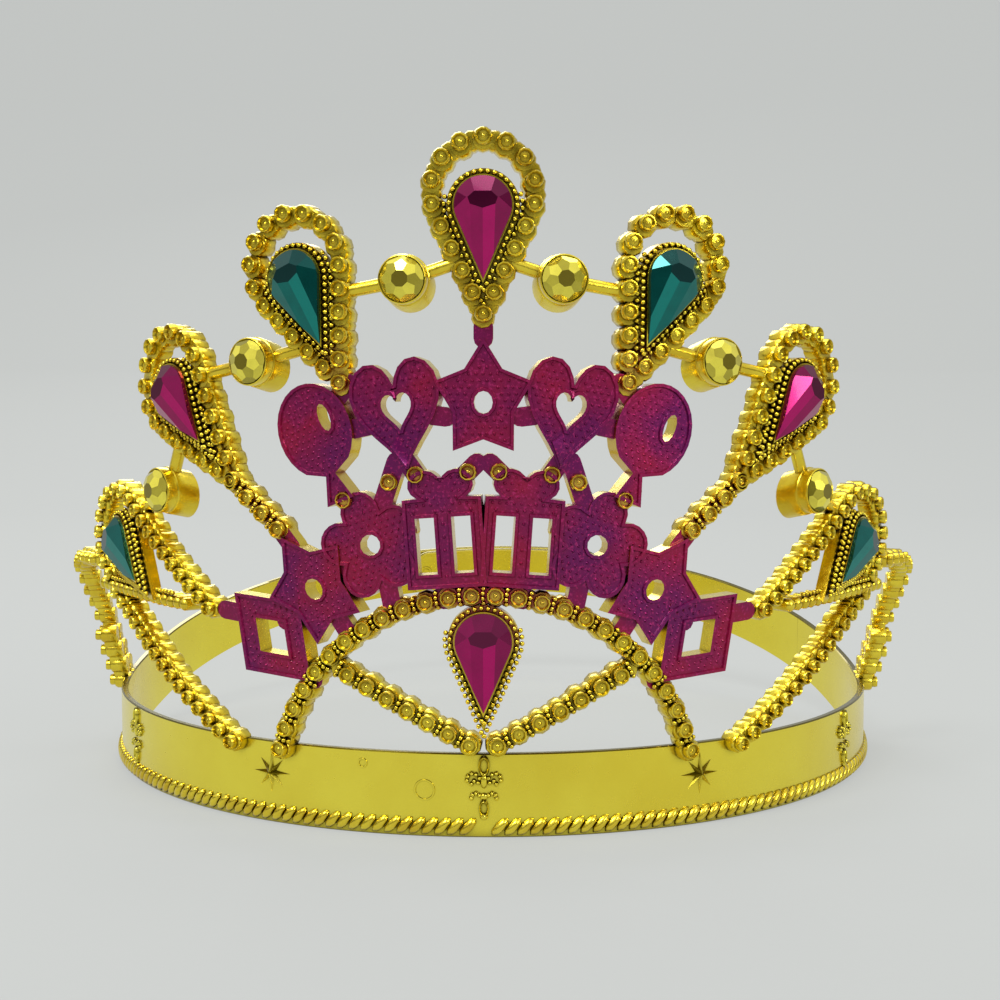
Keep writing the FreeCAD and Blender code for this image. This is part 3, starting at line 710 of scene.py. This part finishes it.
def bead(bm, place, cap_place, size=1.0):
    """A barrel in the strand with a cup-shaped bead on its front."""
    stamp(bm, BARREL, bead_pose(place, size))
    stamp(bm, CUP_BEAD, bead_pose(cap_place, size ** 2))


def strand(bm, points, pairs=False, pitch=BEAD_PITCH, size=1.0, first=0):
    """Beads along a path, with a pair of grains in each gap where the strand has them."""
    centres = along(points, pitch)
    for place in centres[first:]:
        bead(bm, place, place, size)
    for a, b in zip(centres, centres[1:]):
        middle = ((a[0] + b[0]) / 2, (a[1] + b[1]) / 2)
        stamp(bm, BARREL, on_face(middle, 0.0, -0.3) @ Matrix.Diagonal((size * 0.82, size * 0.82, 0.86, 1.0)))
        if pairs:
            lean = degrees(atan2(b[0] - a[0], b[1] - a[1]))
            for x in (-1.15, -0.4, 0.4, 1.15):
                y = 0.0 if abs(x) > 1 else 0.1
                stamp(bm, GRAIN, on_face(shifted(middle, x, y, lean), 0.0, -0.85 if abs(x) > 1 else -0.6))


def pear(radius, tail, sides):
    open_angle = asin(radius / tail)
    turns = [-open_angle + (pi + 2 * open_angle) * i / (sides - 1) for i in range(sides)]
    return [(radius * cos(t), radius * sin(t)) for t in turns] + [(0.0, -tail)]


def head_centre(place, lean):
    return shifted(place, 0.0, (GEM_TAIL - GEM_RADIUS) / 2, lean)


def closed(points):
    return list(points) + [points[0]]


# ---------------------------------------------------------------- jewels
def cut_stone(outline, depth, cuts, top, seat):
    """Cut a stone from a prism: each cut is (turn, slope, distance, tone), the table comes last; tone is the
    facet's painted reflection brightness.
    """
    bm = plate([outline], -seat, depth)
    tone = bm.faces.layers.float.new("facet")
    bmesh.ops.dissolve_limit(bm, angle_limit=radians(1), verts=bm.verts, edges=bm.edges)
    # painted reflection: the prism's faces start mid-bright, each cut face gets its own brightness and the
    # table is darkest
    for face in bm.faces:
        face[tone] = 0.25
    for turn, slope, distance, level in cuts + [(0.0, 0.0, top, 0.08)]:
        t, p = radians(turn), radians(slope)
        normal = Vector((cos(t) * sin(p), sin(t) * sin(p), cos(p)))
        geometry = list(bm.verts) + list(bm.edges) + list(bm.faces)
        done = bmesh.ops.bisect_plane(bm, geom=geometry, dist=1e-5, plane_co=normal * distance,
                                      plane_no=normal, clear_outer=True)
        rim = [e for e in done["geom_cut"] if isinstance(e, bmesh.types.BMEdge)]
        if not rim:
            continue
        for face in bmesh.ops.contextual_create(bm, geom=rim)["faces"]:
            face[tone] = level
    bmesh.ops.recalc_face_normals(bm, faces=bm.faces)
    mesh = bpy.data.meshes.new("cut_stone")
    bm.to_mesh(mesh)
    bm.free()
    return mesh


def pear_stone():
    # the last number of each cut is its facet's painted reflection brightness
    cuts = [
        (90, 38, 3.01, 0.22), (48, 40, 3.25, 0.15), (132, 40, 3.25, 0.4), (8, 42, 3.4, 0.3),
        (172, 42, 3.4, 0.45), (-20, 33, 2.95, 0.45), (200, 33, 2.95, 0.7), (-72, 12, 2.386, 1.0),
        (-108, 12, 2.386, 0.6),
    ]
    return cut_stone(pear(GEM_RADIUS, GEM_TAIL, 26), GEM_CROWN + 0.6, cuts, GEM_CROWN, GEM_SEAT)


def round_stone():
    cuts = []
    # the last number of each cut is its facet's painted reflection brightness
    for i in range(8):
        cuts.append((i * 45 + 22.5, 50, 2.66, (0.95, 0.3, 0.75, 0.45)[i % 4]))
        cuts.append((i * 45, 27, 2.02, (0.9, 0.4, 1.0, 0.55, 0.8)[i % 5]))
    outline = [(3.55 * cos(2 * pi * i / 32), 3.55 * sin(2 * pi * i / 32)) for i in range(32)]
    return cut_stone(outline, 2.0, cuts, 1.62, 0.9)


PEAR_STONE = pear_stone()
ROUND_STONE = round_stone()


def jewel_piece(label, head, lean, finish):
    bm = bmesh.new()
    bm.faces.layers.float.new("facet")
    flip = Matrix.Diagonal((-1 if head[0] > 0 else 1, 1, 1, 1))
    stamp(bm, PEAR_STONE, on_face(head, lean) @ flip)
    finished(bm, "jewel_" + label, "crown", [finish], ["gem_" + label])


def setting_piece(label, head, lean, tail):
    """Rim of grains round the jewel, on a ledge, with the web behind the lower half."""
    bm = bmesh.new()
    pose = on_face(head, lean)
    grow = (GEM_RADIUS + RIM_WIDTH) / GEM_RADIUS
    ledge = plate([pear(GEM_RADIUS + RIM_WIDTH - 0.35, GEM_TAIL * grow - 0.9, 26)], SETTING_BACK, -0.95)
    stamp(bm, stock(ledge, "ledge", 35), pose)
    bezel = plate([pear(GEM_RADIUS + 0.26, GEM_TAIL + 0.65, 26), pear(GEM_RADIUS - 0.05, GEM_TAIL - 0.1, 26)],
                  -1.2, 0.06)
    stamp(bm, stock(bezel, "bezel", 35), pose)
    for outset, level in RIM_ROWS:
        row = closed(pear(GEM_RADIUS + outset, GEM_TAIL * (GEM_RADIUS + outset) / GEM_RADIUS, 26))
        for x, y in along(row, 1.08)[:-1]:
            if outset < 1 or y < 2.0:
                stamp(bm, GRAIN, pose @ Matrix.Translation((x, y, level)))
    if tail:
        web = plate([pear(LOOP_RADIUS, tail, 26)], SETTING_BACK - 0.2, SETTING_FRONT - 1.4)
        bmesh.ops.translate(web, verts=web.verts, vec=(0, HEAD_RISE, 0))
        geometry = list(web.verts) + list(web.edges) + list(web.faces)
        limit = (0.0, -WEB_DROP)
        slope = Vector((0.0, 1.0))
        rows = [(2.05, 4.4)]
        if "lower" in label:    # the web climbs the side nearer the middle
            slope = Vector((0.6 if head[0] > 0 else -0.6, 0.8))
            rows.append((1.2, 2.6))
        cut = bmesh.ops.bisect_plane(web, geom=geometry, plane_co=(*limit, 0), plane_no=(*slope, 0),
                                     clear_outer=True)
        rim = [e for e in cut["geom_cut"] if isinstance(e, bmesh.types.BMEdge)]
        bmesh.ops.contextual_create(web, geom=rim)
        stamp(bm, stock(web, "web", 35), pose)
        for inset, shorter in rows:
            for x, y in along(closed(pear(LOOP_RADIUS - inset, tail - shorter, 26)), 1.3)[:-1]:
                if slope.dot((x - limit[0], y + HEAD_RISE - limit[1])) < -1.5:
                    stamp(bm, GRAIN, pose @ Matrix.Translation((x, y + HEAD_RISE, -1.3)))
    finished(bm, "setting_" + label, "crown", [SPRAYED_BEADS], ["setting_" + label])


def loops():
    for name, (place, lean, tail) in LOOPS.items():
        finish, slot = (TEAL, "teal_gem") if name == "upper" else (MAGENTA, "magenta_gem")
        for side_name, side in ((("", 1),) if name == "centre" else SIDES):
            label = name if name == "centre" else name + "_" + side_name
            head = head_centre(mirrored(place, side), side * lean)
            ring = [(x, y + HEAD_RISE) for x, y in pear(LOOP_RADIUS, tail, 28)]
            outline = closed(ring[-1:] + ring[:-1])     # starts at the tip
            bm = bmesh.new()
            for x, y in along(outline, BEAD_PITCH)[:-1]:
                spot = shifted(head, x, y, side * lean)
                bead(bm, spot, (spot[0], spot[1] + CAP_RISE))
            for x, y in along(outline, BEAD_PITCH / 2)[1::2]:
                between = on_face(shifted(head, x, y, side * lean), 0.0, -0.25)
                stamp(bm, BARREL, between @ Matrix.Diagonal((0.86, 0.86, 0.88, 1.0)))
            finished(bm, "bead_loop_" + label, "crown", [SPRAYED_BEADS], ["loop_" + label])
            jewel_piece(label, head, side * lean, finish)
            setting_piece(label, head, side * lean, tail)


def lower_strand_path(side):
    head = shifted(head_centre(LOWER_GEM, LOWER_LEAN), 0.0, HEAD_RISE, LOWER_LEAN)
    reach = hypot(head[0] - LOWER_STRAND_END[0], head[1] - LOWER_STRAND_END[1])
    slope = atan2(head[1] - LOWER_STRAND_END[1], head[0] - LOWER_STRAND_END[0])
    last = slope + asin(LOOP_RADIUS / reach) + pi / 2
    first = radians(LOWER_START)
    points = []
    for i in range(25):
        turn = first + (last - first) * i / 24
        points.append((head[0] + LOOP_RADIUS * cos(turn), head[1] + LOOP_RADIUS * sin(turn)))
    return [mirrored(p, side) for p in points + [LOWER_STRAND_END]]


def lower_jewels():
    for side_name, side in SIDES:
        label = "lower_" + side_name
        head = head_centre(mirrored(LOWER_GEM, side), side * LOWER_LEAN)
        bm = bmesh.new()
        strand(bm, lower_strand_path(side), False, STRUT_PITCH, SLIM)
        finished(bm, "bead_loop_" + label, "crown", [BEADS], ["loop_" + label])
        jewel_piece(label, head, side * LOWER_LEAN, TEAL)
        setting_piece(label, head, side * LOWER_LEAN, LOWER_WEB_TAIL)
    head = head_centre(LOW_CENTRE_GEM, 0.0)
    jewel_piece("low_centre", head, 0.0, MAGENTA)
    setting_piece("low_centre", head, 0.0, None)


# ---------------------------------------------------------------- cups
CUP_SKEW = 0.22           # the cups' backs drop below their faces by this share of the depth
CUP = turned([
    (0.0, CUP_BACK), (CUP_RADIUS - 0.3, CUP_BACK), (CUP_RADIUS, CUP_BACK + 0.3), (CUP_RADIUS, -1.5),
    (CUP_RADIUS - 0.08, -1.25), (3.92, -1.15), (3.98, 0.35), (3.9, 0.7), (3.72, CUP_FRONT),
    (3.56, 0.66), (3.5, 0.2), (0.0, 0.2)], 32)
for corner in CUP.verts:
    corner.co.y += CUP_SKEW * min(0.0, corner.co.z + 1.2)
CUP = stock(CUP, "cup", 30)


def rod(bm, a, b, radius, depth):
    """A round bar between two places, depth behind the openwork's front face."""
    start = on_face(a, 0.0, -depth).translation
    end = on_face(b, 0.0, -depth).translation
    shape = bmesh.new()
    bmesh.ops.create_cone(shape, segments=12, radius1=radius, radius2=radius, depth=(end - start).length,
                          cap_ends=True)
    turn = (end - start).to_track_quat("Z", "Y").to_matrix().to_4x4()
    stamp(bm, stock(shape, "rod", 50), Matrix.Translation((start + end) / 2) @ turn)


def cups():
    stones = bmesh.new()
    stones.faces.layers.float.new("facet")
    for name, place in CUP_PLACES.items():
        for side_name, side in SIDES:
            here = mirrored(place, side)
            bm = bmesh.new()
            stamp(bm, CUP, on_face(here))
            for end in CUP_LINKS[name]:
                rod(bm, here, mirrored(end, side), LINK_RADIUS, BEAD_LENGTH / 2)
            label = name + "_" + side_name
            finished(bm, "stone_cup_" + label, "crown", [BEADS], ["cup_" + label])
            turn = Matrix.Rotation(rng.uniform(0, 2 * pi), 4, "Z")
            stamp(stones, ROUND_STONE, on_face(here, 0.0, CUP_FRONT) @ turn)
    finished(stones, "round_stones", "crown", [STONE_GOLD], ["cup_stones"])


# ---------------------------------------------------------------- strands
def arch_path():
    centre = ARCH_TOP - ARCH_RADIUS
    last = asin((-FOOT_DROP - centre) / ARCH_RADIUS)
    turns = [last + (pi - 2 * last) * i / 40 for i in range(41)]
    return [(ARCH_RADIUS * cos(t), centre + ARCH_RADIUS * sin(t)) for t in turns]


def strand_piece(name, points, pairs=False, pitch=BEAD_PITCH, size=1.0, first=0):
    bm = bmesh.new()
    strand(bm, points, pairs, pitch, size, first)
    finished(bm, "beads_" + name, "crown", [SPRAYED_BEADS], [name])


def strands():
    strand_piece("arch_strand", arch_path(), True)
    rows = bmesh.new()
    for side_name, side in SIDES:
        strand_piece("vee_strand_" + side_name, [mirrored(p, side) for p in (KNOT, VEE_FOOT)], True, first=1)
        path = [mirrored(p, side) for p in LONG_STRUT]
        strand_piece("long_strut_" + side_name, path, False, STRUT_PITCH, SLIM)
        far = bmesh.new()
        for path in (FAR_STRUT, FAR_STUB):
            strand(far, [mirrored(p, side) for p in path], False, STRUT_PITCH, SLIMMER)
        name = "far_strut_" + side_name
        finished(far, "beads_" + name, "crown", [BEADS], [name])
        place, lean, tail = LOOPS["middle"]
        start = shifted(head_centre(place, lean), 0.0, HEAD_RISE - tail, lean)
        strand_piece("chain_" + side_name, [mirrored(p, side) for p in (start, CHAIN_END)], True)
        for place in along([mirrored(p, side) for p in BASE_ROW], 2.1):
            stamp(rows, SMALL_BEAD, bead_pose(place))
            if SECOND_ROW[0] < abs(place[0]) < SECOND_ROW[1]:
                for step in (-0.5, 0.55):
                    stamp(rows, GRAIN, on_face((place[0] + step, place[1] + 1.5), 0.0, -0.8))
    finished(rows, "base_bead_rows", "crown", [BEADS], ["base_rows"])


# ---------------------------------------------------------------- painted plaques
def ellipse(width, height, count=20, x=0.0, y=0.0):
    turns = [2 * pi * i / count for i in range(count)]
    return [(x + width / 2 * cos(t), y + height / 2 * sin(t)) for t in turns]


def star_outline(count, outer, inner, stretch):
    points = []
    for i in range(2 * count):
        radius = outer if i % 2 == 0 else inner
        points.append((radius * sin(pi * i / count), radius * cos(pi * i / count) * stretch))
    return points


def heart_outline(width, height, y):
    points = []
    for i in range(32):
        if i % 16 == 0:
            continue
        t = 2 * pi * i / 32
        up = (13 * cos(t) - 5 * cos(2 * t) - 2 * cos(3 * t) - cos(4 * t)) / 17
        points.append((sin(t) ** 3 * width / 2, y + up * height / 1.74))
    return points


def star_motif():
    reach = PLAQUE_HEIGHT / 2
    return [star_outline(5, reach * 0.80, reach * 0.50, 1.2), ellipse(3.0, 3.6, 12, 0, -0.3)]


def diamond_motif():
    half = PLAQUE_HEIGHT / 2
    wide = PLAQUE_WIDTH * 0.58
    inner = 1 - PLAQUE_STROKE / (wide * cos(atan2(wide, half)))
    outer = [(0, half), (wide, 0), (0, -half), (-wide, 0)]
    return [outer, [(x * inner, y * inner) for x, y in outer]]


def heart_motif():
    return [heart_outline(PLAQUE_WIDTH * 1.08, PLAQUE_HEIGHT * 0.92, 1.0),
            heart_outline(PLAQUE_WIDTH * 0.36, PLAQUE_HEIGHT * 0.30, 0.8)]


def balloon_motif():
    round_part = [p for p in ellipse(PLAQUE_WIDTH * 0.95, PLAQUE_HEIGHT * 0.76, 28, 0, 2.0) if p[1] > -4.3]
    round_part.sort(key=lambda p: atan2(p[0], p[1] - 2.0))
    knot = [(0.9, -5.6), (2.5, -PLAQUE_HEIGHT / 2), (-2.5, -PLAQUE_HEIGHT / 2), (-0.9, -5.6)]
    return [round_part + knot, ellipse(2.0, 4.6, 12, 2.4, 3.4)]


def gift_motif():
    wide = PLAQUE_WIDTH * 0.46
    low = -PLAQUE_HEIGHT / 2
    lid = PLAQUE_HEIGHT * 0.2
    turns = [-pi / 3 + pi * 1.28 * i / 9 for i in range(10)]
    bow = [(2.6 + 2.7 * cos(t), lid + 2.2 + 2.4 * sin(t)) for t in turns]
    top = bow + [(-x, y) for x, y in reversed(bow)]
    box = [(wide, low), (wide, lid)] + top + [(-wide, lid), (-wide, low)]
    panes = []
    for x0, x1 in ((-wide + 1.9, -1.4), (1.4, wide - 1.9)):
        panes.append([(x0, low + 2.3), (x1, low + 2.3), (x1, lid - 3.0), (x0, lid - 3.0)])
    return [box] + panes


def flower_motif():
    outline = []
    for i in range(50):
        turn = 2 * pi * i / 50
        radius = 5.9 + 3.0 * abs(cos(2.5 * turn)) ** 0.8
        outline.append((radius * sin(turn) * 0.94, radius * cos(turn)))
    return [outline, ellipse(3.4, 3.4, 12)]


MOTIFS = {
    "upper_centre": star_motif, "upper_inner": heart_motif, "upper_outer": balloon_motif,
    "lower_first": gift_motif, "lower_second": flower_motif, "lower_third": star_motif,
    "lower_fourth": diamond_motif,
}
SET_BACK = ("upper_inner", "lower_second", "lower_fourth")
SET_BACK_DEPTH = 0.3
STUD = bmesh.new()
bmesh.ops.create_cone(STUD, segments=6, radius1=0.33, radius2=0.14, depth=0.3, cap_ends=True)
STUD = stock(STUD, "stud", 60)
STUD_PITCH = 1.05
STUD_MARGIN = 1.0
PLAQUE_RIM = ((0.5, 0.0), (0.14, -0.34))    # the raised rim's width, then the step down to the field


def edge_distance(x, y, outline):
    """Distance from a point to an outline, and whether the point is inside it."""
    inside = False
    nearest = 99.0
    for (x0, y0), (x1, y1) in zip(outline, outline[1:] + outline[:1]):
        if (y0 > y) != (y1 > y) and x < x0 + (y - y0) / (y1 - y0) * (x1 - x0):
            inside = not inside
        run = (x1 - x0) ** 2 + (y1 - y0) ** 2
        t = min(1.0, max(0.0, ((x - x0) * (x1 - x0) + (y - y0) * (y1 - y0)) / run))
        nearest = min(nearest, hypot(x - x0 - t * (x1 - x0), y - y0 - t * (y1 - y0)))
    return nearest, inside


def plaque(label, motif, place, lean, front):
    """A gold-sided plate with a painted face: a thin raised rim round a studded field."""
    outlines = motif()
    bm = plate(outlines, PLAQUE_BACK, front)
    field = [f for f in bm.faces if f.normal.z > 0.9]
    for face in field:
        face.material_index = 1
    for thickness, depth in PLAQUE_RIM:
        rim = bmesh.ops.inset_region(bm, faces=field, thickness=thickness, depth=depth, use_boundary=True,
                                     use_even_offset=True)["faces"]
        for face in rim:
            face.material_index = 1
    body = bmesh.new()
    pose = on_face(place, lean)
    shape = bpy.data.meshes.new("plate")
    sharpen(bm, 30)
    bm.to_mesh(shape)
    bm.free()
    stamp(body, shape, pose)
    studs = bmesh.new()
    rows = int(PLAQUE_HEIGHT / 2 / STUD_PITCH) + 1
    for row in range(-rows, rows + 1):
        y = row * STUD_PITCH
        for column in range(-8, 9):
            x = (column + 0.5 * (row % 2)) * STUD_PITCH * 1.1
            gaps, inside = zip(*(edge_distance(x, y, outline) for outline in outlines))
            if inside[0] and not any(inside[1:]) and min(gaps) > STUD_MARGIN:
                stamp(studs, STUD, pose @ Matrix.Translation((x, y, front - 0.26)))
    for face in studs.faces:
        face.material_index = 1
    dots = bpy.data.meshes.new("studs")
    studs.to_mesh(dots)
    studs.free()
    body.from_mesh(dots)
    finishes = [SPRAYED_BEADS, PAINT]
    finished(body, "painted_plaque_" + label, "crown", finishes, ["plaque_" + label])


def plaques():
    for rows, prefix in ((UPPER_ROW, "upper_"), (LOWER_ROW, "lower_")):
        for name, (place, lean) in rows.items():
            motif = MOTIFS[prefix + name]
            front = PLAQUE_FRONT - (SET_BACK_DEPTH if prefix + name in SET_BACK else 0.0)
            if place[0] == 0.0:
                plaque(prefix + name, motif, place, lean, front)
                continue
            for side_name, side in SIDES:
                plaque(prefix + name + "_" + side_name, motif, mirrored(place, side), side * lean, front)


def ties():
    bm = bmesh.new()
    for i, (a, b) in enumerate(TIES):
        for _, side in SIDES:
            if side < 0 and a[0] == 0 and b[0] == 0:
                continue
            reach = hypot(b[0] - a[0], b[1] - a[1]) / 2
            inset = max(reach - TAB_HALF, 0.3)
            turns = [-pi / 2 + pi * k / 6 for k in range(7)]
            end = [(inset + TAB_HALF * cos(t), TAB_HALF * sin(t)) for t in turns]
            tab = plate([end + [(-x, -y) for x, y in end]], PLAQUE_BACK + 0.7, PLAQUE_FRONT - 0.6)
            for face in tab.faces:
                face.material_index = int(face.normal.z > 0.9)
            tab = stock(tab, "tab", 35)
            middle = mirrored(((a[0] + b[0]) / 2, (a[1] + b[1]) / 2), side)
            stamp(bm, tab, on_face(middle, -side * degrees(atan2(b[1] - a[1], b[0] - a[0]))))
            if i in BEADED_TABS:
                stamp(bm, CUP_BEAD, on_face(middle, 0.0, PLAQUE_FRONT + 0.25))
    finished(bm, "tie_tabs", "crown", [SPRAYED_BEADS, PAINT], ["tie_bars"])


# ---------------------------------------------------------------- studio
def studio():
    glow = (0.462, 0.475, 0.465, 1.0)
    grey = Finish("studio_paper", Roughness=0.9, Emission_Color=glow, Emission_Strength=1.0)
    fibre = grey.noise(300.0, 3.0)
    grey.feed("Base Color", grey.mix(fibre * 0.5, (0.073, 0.076, 0.073, 1.0), (0.067, 0.07, 0.067, 1.0)))
    bm = bmesh.new()
    profile = [(-1.6, 0.0), (0.55, 0.0), (0.85, 0.08), (1.02, 0.3), (1.08, 1.6)]
    verts = [bm.verts.new((-2.5, y, z)) for y, z in profile]
    edges = [bm.edges.new(pair) for pair in zip(verts, verts[1:])]
    swept = bmesh.ops.extrude_edge_only(bm, edges=edges)["geom"]
    bmesh.ops.translate(bm, verts=[v for v in swept if isinstance(v, bmesh.types.BMVert)], vec=(5.0, 0, 0))
    bmesh.ops.recalc_face_normals(bm, faces=bm.faces)
    for face in bm.faces:
        face.smooth = True
    mesh = bpy.data.meshes.new("paper")
    bm.to_mesh(mesh)
    bm.free()
    mesh.materials.append(grey.material)
    paper = bpy.data.objects.new("paper", mesh)
    bpy.context.collection.objects.link(paper)

    for name, place, size, power in (
        ("key", (-0.35, -0.55, 0.85), 0.35, 6.5),
        ("fill", (0.6, -0.55, 0.4), 0.25, 2.2),
        ("top", (0.05, 0.1, 0.95), 0.6, 3.6),
        ("rear", (-0.2, 0.75, 0.55), 0.4, 2.2),
    ):
        light = bpy.data.lights.new(name, "AREA")
        light.size = size
        light.energy = power
        lamp = bpy.data.objects.new(name, light)
        lamp.location = place
        lamp.rotation_euler = (Vector((0, 0, 0.05)) - Vector(place)).to_track_quat("-Z", "Y").to_euler()
        bpy.context.collection.objects.link(lamp)

    world = bpy.data.worlds.new("studio")
    world.use_nodes = True
    tree = world.node_tree
    coords = tree.nodes.new("ShaderNodeTexCoord")
    axes = tree.nodes.new("ShaderNodeSeparateXYZ")
    ramp = tree.nodes.new("ShaderNodeValToRGB")
    shift = tree.nodes.new("ShaderNodeMath")
    shift.operation = "MULTIPLY_ADD"
    shift.inputs[1].default_value = 0.5
    shift.inputs[2].default_value = 0.5
    stops = ramp.color_ramp.elements
    stops[0].position, stops[0].color = 0.40, (0.30, 0.31, 0.30, 1)
    stops[1].position, stops[1].color = 1.0, (0.95, 0.96, 0.95, 1)
    for position, level in ((0.49, 0.42), (0.53, 0.5), (0.56, 0.08), (0.61, 0.08), (0.65, 0.8)):
        stops.new(position).color = (level, level, level, 1)
    tree.links.new(coords.outputs["Generated"], axes.inputs[0])
    tree.links.new(axes.outputs[2], shift.inputs[0])
    tree.links.new(shift.outputs[0], ramp.inputs[0])
    seen = tree.nodes.new("ShaderNodeLightPath")
    choose = tree.nodes.new("ShaderNodeMix")
    choose.data_type = "RGBA"
    choose.inputs[7].default_value = (0.56, 0.58, 0.56, 1.0)
    tree.links.new(seen.outputs["Is Camera Ray"], choose.inputs[0])
    tree.links.new(ramp.outputs[0], choose.inputs[6])
    tree.links.new(choose.outputs[2], tree.nodes["Background"].inputs[0])
    tree.nodes["Background"].inputs[1].default_value = 0.9
    bpy.context.scene.world = world
    bpy.context.scene.view_settings.view_transform = "Standard"


def camera():
    lens = bpy.data.cameras.new("camera")
    lens.lens = 59.2
    lens.sensor_width = 36.0
    lens.clip_start = 0.01
    eye = bpy.data.objects.new("camera", lens)
    turn = radians(1.15)
    eye.location = (0.337 * sin(turn), -0.337 * cos(turn), 0.074)
    eye.rotation_euler = (radians(90 - 4.17), 0.0, turn - radians(0.24))
    bpy.context.collection.objects.link(eye)
    bpy.context.scene.camera = eye


camera()
studio()
front_band()
rear_strap("left", -1, slot_cutters())
rear_strap("right", 1, ())
closure_peg()
rope()
emblems()
loops()
lower_jewels()
cups()
strands()
plaques()
ties()
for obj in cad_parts.values():
    for spot in obj.material_slots:
        spot.material = GOLD
